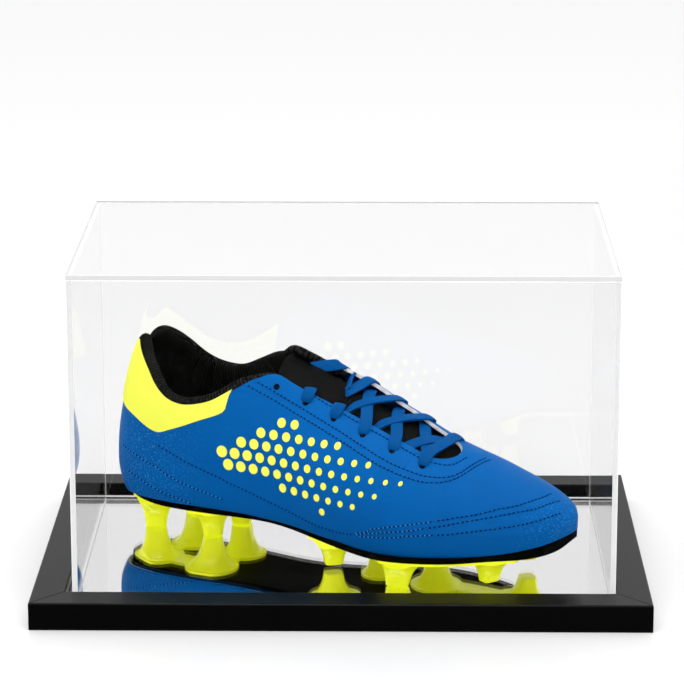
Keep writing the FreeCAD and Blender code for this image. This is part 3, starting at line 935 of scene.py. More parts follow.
@dataclass
class Cover:
    """Five acrylic panels with polished edges and a hair of glue line between them."""

    panels: tuple = ("front", "back", "left", "right", "top")
    glue_line: float = 0.00004
    polish: float = 0.00035
    # Painted light: emission strength on the cut edges of the side panels and of the top panel.
    rim_painted_light: float = 0.5
    top_painted_light: float = 0.06

    def build(self) -> None:
        """Makes each panel; the top panel's rim gets less painted light, as it looks away from the light that
        the sheets gather.
        """
        clear = ACRYLIC.build()
        rim = cut_edge("acrylic_edge", self.rim_painted_light).build()
        top_rim = cut_edge("acrylic_top_edge", self.top_painted_light).build()
        for panel in self.panels:
            sheet = Slab(f"cover_{panel}_panel", "cover", "acrylic", self.polish, self.glue_line)
            sheet.make(f"acrylic_{panel}", clear, top_rim if panel == "top" else rim, on_rim)


# Boot


@dataclass
class Boot:
    """The boot on the mirror: upper, heel panel, lining, tongue, lace, stitching and sole."""

    place: BootPlace = field(default_factory=BootPlace)
    last: Last = field(default_factory=Last)
    inside: tuple = (120.0, 0.0, 50.0)
    upper_wall: float = 2.1
    upper_edge: float = 0.5
    upper_rows: int = 64
    quarter_columns: int = 170
    vamp_columns: int = 130
    throat_share: float = 0.3
    seam: Line = Line(((0, 172), (62, 196), (120, 212)))
    seam_reach: tuple = (165.0, 214.0)
    seam_rows: int = 64
    heel_edge: Line = Line(((-40, 86), (-5, 82.5), (6.8, 76.4), (17.5, 72.2), (26, 68),
                            (31.5, 66), (36, 65.8), (41.9, 68), (51.9, 71.9), (62.3, 76.4), (72.4, 80.4),
                            (76.5, 82.5), (78.5, 84.3), (79.9, 87.9), (81, 94.8), (84, 110)))
    heel_panel_back: float = -3.2
    heel_panel_front: float = 82.5
    heel_panel_lift: float = 0.5
    heel_panel_wall: float = 0.9
    heel_panel_edge: float = 0.3
    heel_panel_grid: tuple = (120, 30)
    ripple: float = 0.22
    ripple_length: float = 17.0
    stand_off: Line = Line(((100, 0), (112, 1.5), (122, 3.4), (135, 5), (150, 5.5),
                            (160, 5.2), (172, 3.6), (184, 2.8), (195, 1.5), (208, 0)))
    stand_rise: tuple = (3.0, 13.0)
    stand_fall: tuple = (16.0, 34.0)
    seam_places: list = field(default_factory=list)

    def __post_init__(self) -> None:
        """Finds the end of the throat along the stations once."""
        self.throat_u = self.last.u_at(self.last.throat_end)

    def raised(self, x: float, y: float) -> float:
        """How far the inner eyestay stands off the form at x and y."""
        near = smooth_step(*self.stand_rise, y) * (1.0 - smooth_step(*self.stand_fall, y))
        return self.stand_off.at(x) * near

    def skin(self, u: float, angle: float, inset: float = 0.0, lift: float = 0.0) -> Vector:
        """A point of the upper in boot millimetres.

        Args:
            u: place along the stations.
            angle: place round the section.
            inset: how far the form is drawn in.
            lift: height over the upper.

        Returns:
            The point.
        """
        p = self.last.point(u, angle, inset)
        if 0.0 < angle < math.pi / 2.0:
            lift += self.raised(p.x, p.y)
        return p + self.last.normal(u, angle, inset) * lift

    def wave(self, u: float, angle: float, inset: float = 0.0) -> float:
        """Height of the leather's slight ripple."""
        return noise.noise(self.last.point(u, angle, inset) / self.ripple_length) * self.ripple

    def spot(self, u: float, angle: float, inset: float = 0.0) -> Vector:
        """A point of the rippled upper in the case's metres."""
        return self.place.world(self.skin(u, angle, inset, self.wave(u, angle, inset)))

    def middle(self) -> Vector:
        """A point inside the boot."""
        return self.place.world(Vector(self.inside))

    def seam_u(self, t: float) -> float:
        """Where the vamp seam crosses a row of the outer side.

        Args:
            t: the row's share of the way from bottom to top.

        Returns:
            The place along the stations.
        """
        def behind(u: float, share: float) -> bool:
            """Whether a place of the outer side is behind the seam."""
            bottom, top = self.last.span(u, Side.OUTER)
            p = self.last.point(u, bottom + (top - bottom) * share)
            return p.x < self.seam.at(p.z)
        if not self.seam_places:
            reach = [self.last.u_at(x) for x in self.seam_reach]
            for row in range(self.seam_rows + 1):
                self.seam_places.append(bisect(*reach, lambda u: behind(u, row / self.seam_rows)))
        where = min(t * self.seam_rows, self.seam_rows - 0.001)
        i = int(where)
        return self.seam_places[i] + (self.seam_places[i + 1] - self.seam_places[i]) * (where - i)

    def half(self, side: Side, columns: int, along: Callable[[float, float], float]) -> Sheet:
        """One half of the upper, from its lower to its upper edge.

        Args:
            side: half of the boot.
            columns: divisions along.
            along: place along the stations at shares s and t.

        Returns:
            The sheet.
        """
        def place(s: float, t: float) -> Vector:
            """Point at shares s and t."""
            u = along(s, t)
            bottom, top = self.last.span(u, side)
            return self.spot(u, bottom + (top - bottom) * t)
        return Sheet(columns, self.upper_rows, place)

    def along_vamp(self, s: float, t: float) -> float:
        """Place along the stations from the seam past the throat to the toe.

        Args:
            s: share of the way.
            t: share from bottom to top.

        Returns:
            The place.
        """
        if s <= self.throat_share:
            start = self.seam_u(t)
            return start + (self.throat_u - start) * math.sin(math.pi / 2.0 * s / self.throat_share)
        ahead = (s - self.throat_share) / (1.0 - self.throat_share)
        return self.throat_u + (len(self.last.stations) - 1.0 - self.throat_u) * ahead ** 1.3

    def upper(self) -> None:
        """The quarters, from the heel to the vamp seam, and the vamp, which parts at the throat."""
        blue = Leather("upper_leather", (0.0, 0.108, 0.385), (0.0, 0.096, 0.35), print_kind=Print.DOTS)
        backing = Cloth("upper_backing", (0.55, 0.56, 0.57), (0.78, 0.79, 0.8), 60.0, 60.0, 0.2)
        material, rim = blue.build(self.place), backing.build()
        quarters = [(f"upper_{side.name.lower()}_quarter", f"boot_quarter_{side.name.lower()}",
                     [self.half(side, self.quarter_columns, lambda s, t: self.seam_u(t) * s)])
                    for side in Side]
        halves = [self.half(side, self.vamp_columns, self.along_vamp) for side in Side]
        for name, node, sheets in (*quarters, ("upper_vamp", "boot_vamp", halves)):
            piece = finish_piece(mesh_of(*sheets), name, material, "base", [node],
                                 self.middle())
            thicken(piece, self.upper_wall * MM, self.upper_edge * MM, rim=rim)

    def heel_panel(self) -> None:
        """The yellow panel laid over both quarters round the heel."""
        first, end = self.last.u_at(self.heel_panel_back), self.last.u_at(self.heel_panel_front)

        def place(s: float, t: float, side: Side) -> Vector:
            """Point of a side at shares s and t."""
            u = first + (end - first) * s ** 1.5
            top = self.last.span(u, side)[1]
            low = self.last.angle_at_z(u, self.heel_edge.at(self.last.station(u)[0]), side)
            low = min(low, top) if side is Side.INNER else max(low, top)
            return self.spot(u, low + (top - low) * t, -self.heel_panel_lift)
        yellow = Leather("heel_leather", (0.97, 1.0, 0.11), (0.95, 0.99, 0.1), grain=0.06)
        bm = mesh_of(*(Sheet(*self.heel_panel_grid, partial(place, side=side)) for side in Side))
        piece = finish_piece(bm, "upper_heel_panel", yellow.build(self.place), "base",
                             ["boot_heel_panel"], self.middle())
        thicken(piece, self.heel_panel_wall * MM, self.heel_panel_edge * MM)

    def sole(self) -> None:
        """Sole plate and studs; the CAD solids show with better finishes."""
        rubber = Moulded("sole_moulding", (0.002, 0.002, 0.002), (0.005, 0.005, 0.005), 0.55, 900.0, 0.25,
                         shine=0.02)
        # The studs' emission is painted light: it brightens them where they sit in the sole's shade.
        lime = Moulded("stud_moulding", (0.94, 1.0, 0.02), (0.9, 0.98, 0.016), 0.25, 400.0, 0.02, coat=0.3,
                       painted_glow=0.3, shine=0.3)
        dress_node("boot_sole_plate", rubber.build())
        studs = lime.build()
        for part in ("heel", "waist", "fore"):
            dress_node(f"boot_{part}_studs", studs)

    def build(self) -> None:
        """Makes every piece of the boot."""
        self.upper()
        self.heel_panel()
        for part in (Lining, Tongue, Lacing, Stitching):
            part(self).build()
        self.sole()


@dataclass
class Lining:
    """Black padded collar with a woven band along its edge, the lining below it and the sockliner."""

    boot: Boot
    back_x: float = 4.8
    front_x: dict = field(default_factory=lambda: {Side.OUTER: 119.0, Side.INNER: 137.0})
    rim_steps: int = 240
    band_rows: int = 36
    band: tuple = ((-1.2, -2.4), (0.1, -0.4), (0.3, 1.2), (-0.2, 3.2), (-1.6, 4.8), (-3.6, 5.2), (-5.6, 4.4),
                   (-6.8, 2), (-7.2, -2), (-7.1, -6))
    slim: float = 0.8
    slim_from: tuple = (14.0, 42.0)
    end_sink: tuple = (1.5, 3.2)
    peak: Line = Line(((64, 0), (78, 1.6), (90, 2.8), (102, 3.4), (112, 4.2), (119, 3.8),
                       (125, 2.2), (131, 0.2), (137, 0)))
    wall_inset: float = 4.6
    wall_drop: float = 2.0
    wall_ahead: float = 8.0
    liner_reach: tuple = (-1.0, 284.0)
    liner_lift: float = 4.0
    liner_inset: float = 3.2
    liner_wall: float = 3.0
    liner_edge: float = 0.6
    wall_grid: tuple = (90, 36)
    liner_grid: tuple = (90, 16)

    def rim(self) -> list[tuple[float, float]]:
        """Places along the collar edge, from the outer side round the heel to the inner side."""
        last, half = self.boot.last, self.rim_steps // 2
        back, rows = last.u_at(self.back_x), {}
        for side, front_x in self.front_x.items():
            front = last.u_at(front_x)
            places = [back + (front - back) * (i / half) ** 2 for i in range(half + 1)]
            rows[side] = [(u, last.top_angle(u, side)) for u in places]
        return rows[Side.OUTER][::-1] + rows[Side.INNER][1:]

    def roll(self) -> Sheet:
        """The rolled band: its profile swept along the collar edge."""
        last, rows = self.boot.last, self.rim()
        edge = [self.boot.skin(u, a) for u, a in rows]
        end = len(rows) - 1

        def place(s: float, t: float) -> Vector:
            """Point at shares s along the edge and t round the profile."""
            i = int(round(s * end))
            along = (edge[min(i + 2, end)] - edge[max(i - 2, 0)]).normalized()
            out = last.normal(*rows[i])
            out = (out - along * out.dot(along)).normalized()
            share = t * (len(self.band) - 1)
            k = min(int(share), len(self.band) - 2)
            n, b = cubic(self.band, k, share - k)
            tuck = 1.0 - smooth_step(0.0, 0.07, s) * smooth_step(0.0, 0.04, 1.0 - s)
            size = 1.0 - (1.0 - self.slim) * smooth_step(*self.slim_from, edge[i].x)
            rise = self.peak.at(edge[i].x) * smooth_step(-2.4, 3.0, b) if edge[i].y > 0.0 else 0.0
            point = edge[i] + out * (n * size - self.end_sink[0] * tuck)
            lift = b * size + rise - self.end_sink[1] * tuck
            return self.boot.place.world(point + along.cross(out) * lift)
        return Sheet(end, self.band_rows, place)

    def wall(self, side: Side) -> Sheet:
        """One side of the lining inside the boot."""
        last, front = self.boot.last, self.boot.last.u_at(self.front_x[side] + self.wall_ahead)

        def place(s: float, t: float) -> Vector:
            """Point at shares s along and t up the wall."""
            u = front * s
            low = last.sole_angle(u, side)
            top = last.top_angle(u, side, self.wall_inset, self.wall_drop)
            return self.boot.place.world(last.point(u, low + (top - low) * t, self.wall_inset))
        return Sheet(*self.wall_grid, place)

    def sockliner(self) -> None:
        """Makes the sockliner under the foot."""
        last = self.boot.last
        start, end = (last.u_at(x) for x in self.liner_reach)

        def place(s: float, t: float) -> Vector:
            """Point at shares s along and t across."""
            u = start + (end - start) * s
            level = last.sole.at(last.station(u)[0]) + self.liner_lift
            outer, inner = (last.point(u, last.angle_at_z(u, level, side, self.liner_inset), self.liner_inset)
                            for side in (Side.OUTER, Side.INNER))
            return self.boot.place.world(outer.lerp(inner, t))
        cloth = Cloth("sockliner_cloth", (0.02, 0.02, 0.022), (0.045, 0.045, 0.048), 90.0, 260.0)
        under = self.boot.place.world(Vector((120.0, 0.0, -200.0)))
        piece = finish_piece(mesh_of(Sheet(*self.liner_grid, place)), "sockliner", cloth.build(), "base",
                             ["boot_sockliner"], under)
        thicken(piece, self.liner_wall * MM, self.liner_edge * MM)

    def build(self) -> None:
        """Makes the band, the lining below it and the sockliner."""
        ribs = Cloth("band_ribs", (0.0, 0.0, 0.0), (0.022, 0.022, 0.021), 0.0, 260.0, 0.9)
        piece = finish_piece(mesh_of(self.roll()), "collar_band", ribs.build(), "base",
                             ["boot_collar_lining"])
        knit = Cloth("lining_mesh", (0.001, 0.001, 0.001), (0.022, 0.022, 0.022), 14.0, 130.0, 0.9)
        walls = mesh_of(*(self.wall(side) for side in Side))
        piece = finish_piece(walls, "collar_lining", knit.build(), "base")
        self.sockliner()


@dataclass
class Tongue:
    """Tongue in the throat and the bare label at its top."""

    boot: Boot
    box: tuple = (104.0, 226.0, -23.5, 20.5)
    inset: float = 3.1
    tip_sink: float = 2.6
    tip_end: float = 128.0
    label: tuple = (104.6, 150.0, -15.5, 12.5)
    label_lift: float = 0.8
    wall: float = 3.0
    edge: float = 1.2
    label_wall: float = 0.8
    label_edge: float = 0.3
    grid: tuple = (80, 28)
    label_grid: tuple = (40, 20)

    def patch(self, box: tuple, inset: float, grid: tuple) -> BMesh:
        """A sheet over a box of x and y, sunk a little at the tongue's tip.

        Args:
            box: start x, end x, outer y, inner y.
            inset: depth below the boot's form.
            grid: divisions along and across.

        Returns:
            The mesh.
        """
        last = self.boot.last
        x0, x1, y0, y1 = box

        def place(s: float, t: float) -> Vector:
            """Point at shares s along and t across."""
            x = x0 + (x1 - x0) * s
            u, deep = last.u_at(x), inset + self.tip_sink * (1.0 - smooth_step(self.box[0], self.tip_end, x))
            return self.boot.place.world(last.point(u, last.angle_at_y(u, y0 + (y1 - y0) * t, deep), deep))
        return mesh_of(Sheet(*grid, place))

    def build(self) -> None:
        """Makes the tongue and its label."""
        cloth = Cloth("tongue_cloth", (0.002, 0.002, 0.002), (0.012, 0.012, 0.012), 60.0, 180.0, 0.4)
        piece = finish_piece(self.patch(self.box, self.inset, self.grid), "tongue", cloth.build(), "base",
                             ["boot_tongue"], self.boot.middle())
        thicken(piece, self.wall * MM, self.edge * MM)
        film = Moulded("label_film", (0.002, 0.002, 0.002), (0.005, 0.005, 0.0052), 0.42, 1600.0, 0.1,
                       shine=0.04)
        bm = self.patch(self.label, self.inset - self.label_lift, self.label_grid)
        piece = finish_piece(bm, "tongue_label", film.build(), "base", ["boot_tongue_label"],
                             self.boot.middle())
        thicken(piece, self.label_wall * MM, self.label_edge * MM)


@dataclass
class Lacing:
    """Flat woven lace: a bar at the front, crossings, and two short loops at the top of the outer side."""

    boot: Boot
    front_x: float = 205.5
    pitch: float = 19.3
    outer_eyelets: tuple = (-23.8, -24.0, -23.2, -22.0, -20.4, -20.1)
    inner_eyelet: float = 20.0
    inner_ahead: float = 4.5
    edges: dict = field(default_factory=lambda: {Side.OUTER: -16.0, Side.INNER: 13.0})
    middle_y: float = -1.5
    width: float = 6.8
    eyelet_width: float = 5.0
    spread: tuple = (0.5, 6.0)
    tucked: float = -2.5
    crown: float = 0.35
    thickness: float = 1.3
    edge: float = 0.4
    strap_rows: int = 6
    tail_twist: float = -55.0
    twist_length: float = 9.0
    hole: tuple = (1.9, 1.9, 0.35)

    def eyelet(self, row: int, side: Side) -> tuple[float, float]:
        """x and y of an eyelet, row 0 at the front."""
        x = self.front_x - self.pitch * row
        if side is Side.OUTER:
            return x, self.outer_eyelets[row]
        return x + self.inner_ahead, self.inner_eyelet

    def at(self, x: float, y: float, height: float) -> tuple[Vector, Vector]:
        """A point over the upper and the form's normal there."""
        last = self.boot.last
        u = last.u_at(x)
        angle = last.angle_at_y(u, y)
        return self.boot.skin(u, angle, 0.0, height), last.normal(u, angle)

    def start(self, row: int, side: Side) -> list[tuple]:
        """Up out of an eyelet and on to the edge of the throat."""
        x, y = self.eyelet(row, side)
        return [(x, y, -2.0), (x, y - side.value * 0.8, 1.0), (x - 1.0, self.edges[side], 1.4)]

    def finish(self, row: int, side: Side) -> list[tuple]:
        """In under the edge of the throat to an eyelet."""
        x, y = self.eyelet(row, side)
        return [(x + 2.5, self.edges[side] - side.value * 1.5, -3.6), (x, y, -4.0)]

    def crossing(self, row: int, side: Side, lift: float) -> list[tuple]:
        """From an eyelet over its edge and under the other edge, one row further back.

        Args:
            row: row of the eyelet.
            side: where it starts.
            lift: height in the middle.

        Returns:
            The control points.
        """
        other = Side(-side.value)
        middle = (self.eyelet(row, side)[0] + self.eyelet(row + 1, other)[0]) / 2.0
        return self.start(row, side) + [(middle, self.middle_y, lift)] + self.finish(row + 1, other)

    def hidden_crossing(self, side: Side, start_x: float, end_x: float, lift: float) -> list[tuple]:
        """From under one edge to under the other, between the two front rows.

        Args:
            side: where it starts.
            start_x: x at the first edge.
            end_x: x at the other edge.
            lift: height in the middle.

        Returns:
            The control points.
        """
        turn = side.value
        near, far = self.edges[side], self.edges[Side(-turn)]
        return [(start_x + 3.0, near + turn * 6.0, -4.0), (start_x, near - turn, -3.2),
                ((start_x + end_x) / 2.0, self.middle_y, lift),
                (end_x, far + turn, -3.2), (end_x - 3.0, far - turn * 6.0, -4.0)]

    def loop(self, row: int) -> list[tuple]:
        """From an outer eyelet over its own edge and back under it."""
        x, edge = self.eyelet(row, Side.OUTER)[0], self.edges[Side.OUTER]
        return self.start(row, Side.OUTER)[:2] + [(x + 0.5, edge - 1.0, 1.6), (x + 0.5, edge + 2.4, 0.2),
                                                  (x - 0.5, edge + 1.4, -3.4), (x - 1.0, edge - 4.0, -4.0)]

    def routes(self) -> list[tuple[list[tuple], float]]:
        """Control points of each strap as x, y and height over the upper, and its turn about itself."""
        def from_inner(row: int, kept: int, steps: Sequence[tuple]) -> list[tuple]:
            """Out of an inner eyelet, then by steps of x from the eyelet, y and height."""
            x = self.eyelet(row, Side.INNER)[0]
            return self.start(row, Side.INNER)[:kept] + [(x + ahead, y, z) for ahead, y, z in steps]
        bar = (self.start(0, Side.OUTER) + [(self.front_x + 3.0, self.middle_y, 0.6)]
               + self.start(0, Side.INNER)[::-1])
        fold = from_inner(3, 3, ((-2.2, 6.0, -0.2), (-3.5, -0.5, -0.3), (-4.2, -3.2, -0.4),
                                 (-4.6, -3.3, -1.2), (-5.8, -0.5, -1.3), (-8.6, 6.5, -1.4),
                                 (-10.6, 11.5, -2.2), (-12.0, 18.0, -4.0)))
        tail = from_inner(4, 2, ((0.5, 14.5, 0.5), (-0.5, 11.5, 0.1), (-3.5, 9.5, -1.0), (-7.5, 7.0, -2.6),
                                 (-11.5, 5.0, -5.2)))
        straps = [bar, fold, self.loop(3), self.loop(4), self.hidden_crossing(Side.OUTER, 205.0, 190.5, -2.6),
                  self.hidden_crossing(Side.INNER, 208.0, 191.5, -1.2)]
        for row in (1, 2):
            straps += [self.crossing(row, Side.OUTER, -2.0), self.crossing(row, Side.INNER, -0.4)]
        return [(route, 0.0) for route in straps] + [(tail, self.tail_twist)]

    def smooth_line(self, points: Sequence[Vector]) -> list[Vector]:
        """Runs a NURBS line along control points.

        Args:
            points: the control points.

        Returns:
            Close points of the line.
        """
        curve = bpy.data.curves.new("route", "CURVE")
        curve.dimensions, curve.resolution_u = "3D", 12
        spline = curve.splines.new("NURBS")
        spline.points.add(len(points) - 1)
        for knot, point in zip(spline.points, points):
            knot.co = (*point, 1.0)
        spline.order_u, spline.use_endpoint_u = 3, True
        holder = bpy.data.objects.new("route", curve)
        mesh = bpy.data.meshes.new_from_object(holder)
        line = [vert.co.copy() for vert in mesh.vertices]
        for block, data in ((bpy.data.objects, holder), (bpy.data.curves, curve), (bpy.data.meshes, mesh)):
            block.remove(data)
        return line

    def strap(self, route: Sequence[tuple], twist: float) -> Sheet:
        """One flat strap along a route.

        Args:
            route: its control points.
            twist: how far it turns about itself past the edge, in degrees.

        Returns:
            The sheet.
        """
        spots = [self.at(*spot) for spot in route]
        line = self.smooth_line([point for point, _ in spots])
        count = len(line) - 1
        along = [(line[min(i + 1, count)] - line[max(i - 1, 0)]).normalized() for i in range(count + 1)]
        start = min(range(count + 1), key=lambda i: (line[i] - spots[2][0]).length)
        faces = [spots[2][1]] * (count + 1)
        for i in [*range(start, count + 1), *range(start - 1, -1, -1)]:
            before = faces[i - 1] if i > start else faces[min(i + 1, count)]
            faces[i] = (before - along[i] * before.dot(along[i])).normalized()
        length = [0.0]
        for a, b in zip(line[:-1], line[1:]):
            length.append(length[-1] + (b - a).length)
        for i in range(start, count + 1):
            turned = math.radians(twist) * smooth_step(0.0, self.twist_length, length[i] - length[start])
            faces[i] = Matrix.Rotation(turned, 3, along[i]) @ faces[i]

        def place(s: float, t: float) -> Vector:
            """Point at shares s along and t across."""
            i = int(round(s * count))
            ends = smooth_step(*self.spread, length[i])
            if route[-1][2] > self.tucked:
                ends *= smooth_step(*self.spread, length[-1] - length[i])
            wide = self.eyelet_width + (self.width - self.eyelet_width) * ends
            side = along[i].cross(faces[i]) * ((t - 0.5) * wide)
            crown = faces[i] * (self.crown * (1.0 - (2.0 * t - 1.0) ** 2))
            return self.boot.place.world(line[i] + side + crown)
        return Sheet(count, self.strap_rows, place)

    def holes(self) -> None:
        """Makes the dark eyelets, with the spare pair at the collar."""
        bm = new_mesh()
        for row in range(len(self.outer_eyelets)):
            for side in Side:
                point, normal = self.at(*self.eyelet(row, side), 0.05)
                turn = self.boot.place.turn(normal).to_track_quat("Z", "Y").to_matrix().to_4x4()
                bmesh.ops.create_uvsphere(bm, u_segments=20, v_segments=10, radius=1.0,
                                          matrix=self.boot.place.grain(point, turn, self.hole))
        dark = Moulded("eyelet_dark", (0.002, 0.004, 0.01), (0.004, 0.006, 0.014), 0.8, 900.0, 0.1)
        finish_piece(bm, "eyelets", dark.build(), "base")

    def build(self) -> None:
        """Makes the lace and the eyelets."""
        bm = mesh_of(*(self.strap(route, twist) for route, twist in self.routes()))
        woven = Cloth("lace_weave", (0.0, 0.058, 0.22), (0.0, 0.092, 0.33), 7.0, 46.0, 0.6, 0.7)
        piece = finish_piece(bm, "lace", woven.build(), "base", ["boot_lace"], merge=1e-7)
        thicken(piece, self.thickness * MM, self.edge * MM, 0.0)
        self.holes()


@dataclass
class Stitching:
    """Rows of thread and needle holes on the outer side, each given by points near it; some rows use a pale
    thread that is a painted highlight.
    """

    boot: Boot
    pitch: float = 2.7
    steps: int = 60
    thread: tuple = (0.75, 0.4, 0.3)
    hole: tuple = (0.7, 0.56, 0.28)
    height: float = 0.2
    dark_rows: tuple = (
        ((88.4, -23.5, 101.2), (119.4, -24.3, 89.7), (155.3, -29.4, 77.3), (189.1, -33.8, 65.4),
         (212.9, -30.6, 60.7), (226.9, -18.6, 63.5), (233.5, 8.7, 66.7)),
        ((94, -21.5, 103.6), (121, -22.3, 93.2), (157, -27.2, 80.8), (191, -31.2, 68.9),
         (213.5, -27.8, 64.3), (225.5, -17.5, 66.4), (231, 8, 69.5)),
        ((124, -18.8, 103), (150, -19.4, 92), (180, -19.6, 80), (206, -19.4, 69.5),
         (219, -14, 67.5), (223.5, -2, 69)),
        ((31.1, -30.9, 58.4), (48.8, -31.5, 51.7), (67.1, -30.7, 45.4), (89.4, -30.7, 39),
         (114, -33.5, 33.2), (137.2, -39.1, 29), (150.1, -42.9, 27.7), (161.2, -45.7, 27.6),
         (172.1, -48.2, 28.6)),
        ((220.7, -44, 42.4), (233.8, -38.7, 45.3), (244.6, -33.1, 47.2), (253.7, -25.9, 49.3),
         (263.1, -16.9, 50.5), (270, -4.3, 51.7), (272.3, 5, 51.7)),
        ((216.6, -46.3, 38.5), (230.2, -42.1, 41.3), (251.1, -31.4, 45.7), (264.7, -20.4, 47.9),
         (272.8, -10.6, 48.6), (278.7, 4.5, 48.8)),
        ((221.7, -46, 35.3), (235.4, -42.1, 37), (256.7, -32.3, 40.4), (270.5, -21.9, 42.3),
         (278.6, -12.1, 44), (283.2, -3.7, 44.6)))
    # Rows whose thread is painted pale: a painted highlight on the stitching.
    highlight_rows: tuple = (
        ((173, -48.4, 30), (183.7, -49.9, 33.2), (192.1, -49.8, 36.1), (206.8, -47.7, 39.4),
         (220.7, -44, 42.4)),
        ((173.5, -48.5, 29), (183.7, -49.9, 31.4), (192.2, -50, 33.7), (207.2, -48.4, 36.2),
         (216.6, -46.3, 38.5)),
        ((175.8, -48.9, 28.3), (183.7, -49.9, 29.4), (192.2, -50, 30.4), (207.3, -48.7, 33.3),
         (221.7, -46, 35.3)),
        ((2.9, -21.5, 52), (21, -29.6, 47.2), (41.7, -31.4, 39.5), (61.8, -30.9, 33.4), (76.5, -30.2, 29.9)),
        ((7.9, -25, 37.8), (19.9, -29.3, 33.9), (41.7, -30.7, 27.2), (55.8, -29.8, 23.8)))

    def trace(self, row: Sequence[tuple]) -> list[tuple[Vector, Vector, Vector]]:
        """Finds evenly spaced places along a row.

        Args:
            row: the points that it passes.

        Returns:
            Point, normal and direction of each place.
        """
        last, keys = self.boot.last, []
        for x, y, z in row:
            u = last.u_at(x)
            keys.append((u, last.angle_near(u, y, z)))
        fine = [cubic(keys, i, k / self.steps) for i in range(len(keys) - 1) for k in range(self.steps)]
        line = [self.boot.skin(u, a, 0.0, self.boot.wave(u, a)) for u, a in fine]
        spots, gone = [], 0.0
        for i in range(1, len(line)):
            ahead = line[i] - line[i - 1]
            gone += ahead.length
            if gone >= self.pitch:
                gone -= self.pitch
                spots.append((line[i], last.normal(*fine[i]), ahead.normalized()))
        return spots

    def dab(self, bm: BMesh, spot: tuple[Vector, Vector, Vector], shift: float,
            size: tuple) -> None:
        """Adds one flat grain on a row.

        Args:
            bm: the mesh.
            spot: point, normal and direction of the row there.
            shift: distance ahead along the row.
            size: half sizes along, across and up, in millimetres.
        """
        point, normal, along = spot
        up, ahead = self.boot.place.turn(normal), self.boot.place.turn(along)
        turn = Matrix((ahead, up.cross(ahead), up)).transposed().to_4x4()
        centre = point + along * shift + normal * self.height
        bmesh.ops.create_icosphere(bm, subdivisions=1, radius=1.0,
                                   matrix=self.boot.place.grain(centre, turn, size))

    def build(self) -> None:
        """Makes the threads and the needle holes between them; the pale thread on some rows is a painted
        highlight.
        """
        blue = Cloth("thread", (0.0, 0.1, 0.4), (0.01, 0.15, 0.5), 40.0, 40.0, 0.2)
        # Painted highlight: a lighter copy of the thread colour for the lit rows.
        highlight_thread = Cloth("thread_painted_highlight", (0.01, 0.19, 0.58), (0.06, 0.32, 0.76), 40.0, 40.0, 0.2)
        dark = Moulded("needle_holes", (0.0, 0.01, 0.05), (0.0, 0.015, 0.07), 0.7, 900.0, 0.1)
        thread, bright, holes = new_mesh(), new_mesh(), new_mesh()
        for rows, bm in ((self.dark_rows, thread), (self.highlight_rows, bright)):
            for spot in (spot for row in rows for spot in self.trace(row)):
                self.dab(bm, spot, 0.0, self.thread)
                self.dab(holes, spot, self.pitch / 2.0, self.hole)
        for bm, name, finish in ((thread, "stitches", blue), (bright, "stitches_painted_highlight", highlight_thread),
                                 (holes, "needle_holes", dark)):
            finish_piece(bm, name, finish.build(), "base", merge=1e-8)


# Studio


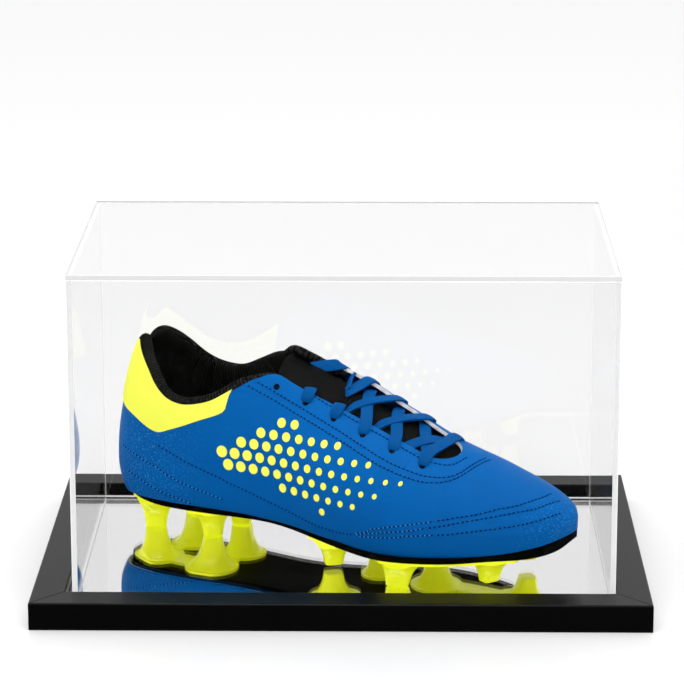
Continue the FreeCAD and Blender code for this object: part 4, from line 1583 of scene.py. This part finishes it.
@dataclass
class Studio:
    """White floor and surroundings, soft light from above, and the photograph's camera."""

    camera_place: Vector = Vector((0.022824, -1.665016, 0.605872))
    pitch: float = -0.22699323
    roll: float = 0.00087327
    yaw: float = 0.01401709
    focal_pixels: float = 2939.352
    centre_row: float = 200.0
    sensor: float = 36.0
    clip_end: float = 50.0
    floor_size: float = 8.0
    floor_white: float = 0.525
    floor_behind: float = 0.475
    behind_from: tuple = (0.1, 0.15)
    front_edge: float = -0.117
    light: float = 2.05
    room: dict = field(default_factory=lambda: {
        "From Min": -0.25, "From Max": 0.05, "To Min": 0.03, "To Max": 1.0})
    lamp_place: Vector = Vector((0.0, -0.4, 1.7))
    lamp_target: Vector = Vector((0.0, 0.0, 0.05))
    lamp_size: tuple = (1.8, 1.2)
    lamp_power: float = 20.0

    def build(self) -> None:
        """Makes the floor, the surroundings, the lamp and the camera."""
        self.floor()
        self.surroundings()
        self.lamp()
        self.camera()
        bpy.context.scene.view_settings.view_transform = "Standard"

    def show(self, name: str, data: ID) -> Object:
        """Puts an object with its data into the scene."""
        made = bpy.data.objects.new(name, data)
        bpy.context.scene.collection.objects.link(made)
        return made

    def floor(self) -> None:
        """A large white floor with the case's shadow and a soft reflection; its front mirrors as dark."""
        shader = Shader("floor_white")
        across = shader.axes(shader.place())[1]
        start, width = self.behind_from
        tone = shader.mix(shader.clamp((across - start) / width), (self.floor_white,) * 3,
                          (self.floor_behind,) * 3)
        dark = shader.node("ShaderNodeBsdfDiffuse", inputs={"Color": (0.0, 0.0, 0.0, 1.0)})
        hidden = (shader.path("Glossy Depth") > 0.5) * (across < self.front_edge)
        shader.feed(shader.output.inputs["Surface"], shader.blend(hidden, shader.body, dark).outputs[0])
        shader.dress(Base_Color=tone, Roughness=0.22, Specular_IOR_Level=0.5)
        bm = bmesh.new()
        bmesh.ops.create_grid(bm, x_segments=1, y_segments=1, size=self.floor_size)
        mesh = bpy.data.meshes.new("floor")
        bm.to_mesh(mesh)
        bm.free()
        mesh.materials.append(shader.material)
        floor = self.show("floor", mesh)

    def surroundings(self) -> None:
        """White to the eye and in the mirror, brighter as light, dark in front when mirrored twice."""
        world = bpy.data.worlds.new("studio")
        bpy.context.scene.world = world
        world.use_nodes = True
        nodes = Nodes(world.node_tree)
        across = nodes.axes(nodes.place("Generated"))[1]
        room = nodes.node("ShaderNodeMapRange", inputs={"Value": across, **self.room})
        white, mirrored, light = (
            nodes.node("ShaderNodeBackground", inputs={"Color": WHITE, "Strength": strength})
            for strength in (1.0, room.outputs[0], self.light))
        seen = nodes.blend(nodes.path("Glossy Depth") > 1.5, white, mirrored)
        mixed = nodes.blend(nodes.path("Diffuse Depth") > 0.5, seen, light)
        nodes.node("ShaderNodeOutputWorld", inputs={"Surface": mixed.outputs[0]})

    def lamp(self) -> None:
        """One large soft box above and a little in front."""
        lamp = bpy.data.lights.new("soft_box", "AREA")
        lamp.shape, lamp.energy = "RECTANGLE", self.lamp_power
        lamp.size, lamp.size_y = self.lamp_size
        box = self.show("soft_box", lamp)
        box.location = self.lamp_place
        box.rotation_euler = (self.lamp_target - self.lamp_place).to_track_quat("-Z", "Y").to_euler()

    def camera(self) -> None:
        """The photograph's view, fitted to the corners of the case."""
        lens = bpy.data.cameras.new("camera")
        lens.sensor_fit, lens.sensor_width, lens.clip_end = "AUTO", self.sensor, self.clip_end
        lens.lens = self.focal_pixels * self.sensor / IMAGE_HEIGHT
        lens.shift_y = (self.centre_row - IMAGE_HEIGHT / 2.0) / IMAGE_HEIGHT
        camera = self.show("camera", lens)
        turn = (Matrix.Rotation(self.yaw, 4, "Z") @ Matrix.Rotation(self.pitch, 4, "X")
                @ Matrix.Rotation(self.roll, 4, "Y") @ Matrix.Rotation(math.pi / 2.0, 4, "X"))
        camera.matrix_world = Matrix.Translation(self.camera_place) @ turn
        bpy.context.scene.camera = camera


def write_sizes() -> None:
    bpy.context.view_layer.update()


def main() -> None:
    """Builds the case, the boot and the studio."""
    logging.basicConfig(level=logging.INFO, format="%(message)s")
    CaseBase().build()
    Cover().build()
    Boot().build()
    Studio().build()
    write_sizes()


if __name__ == "__main__":
    main()
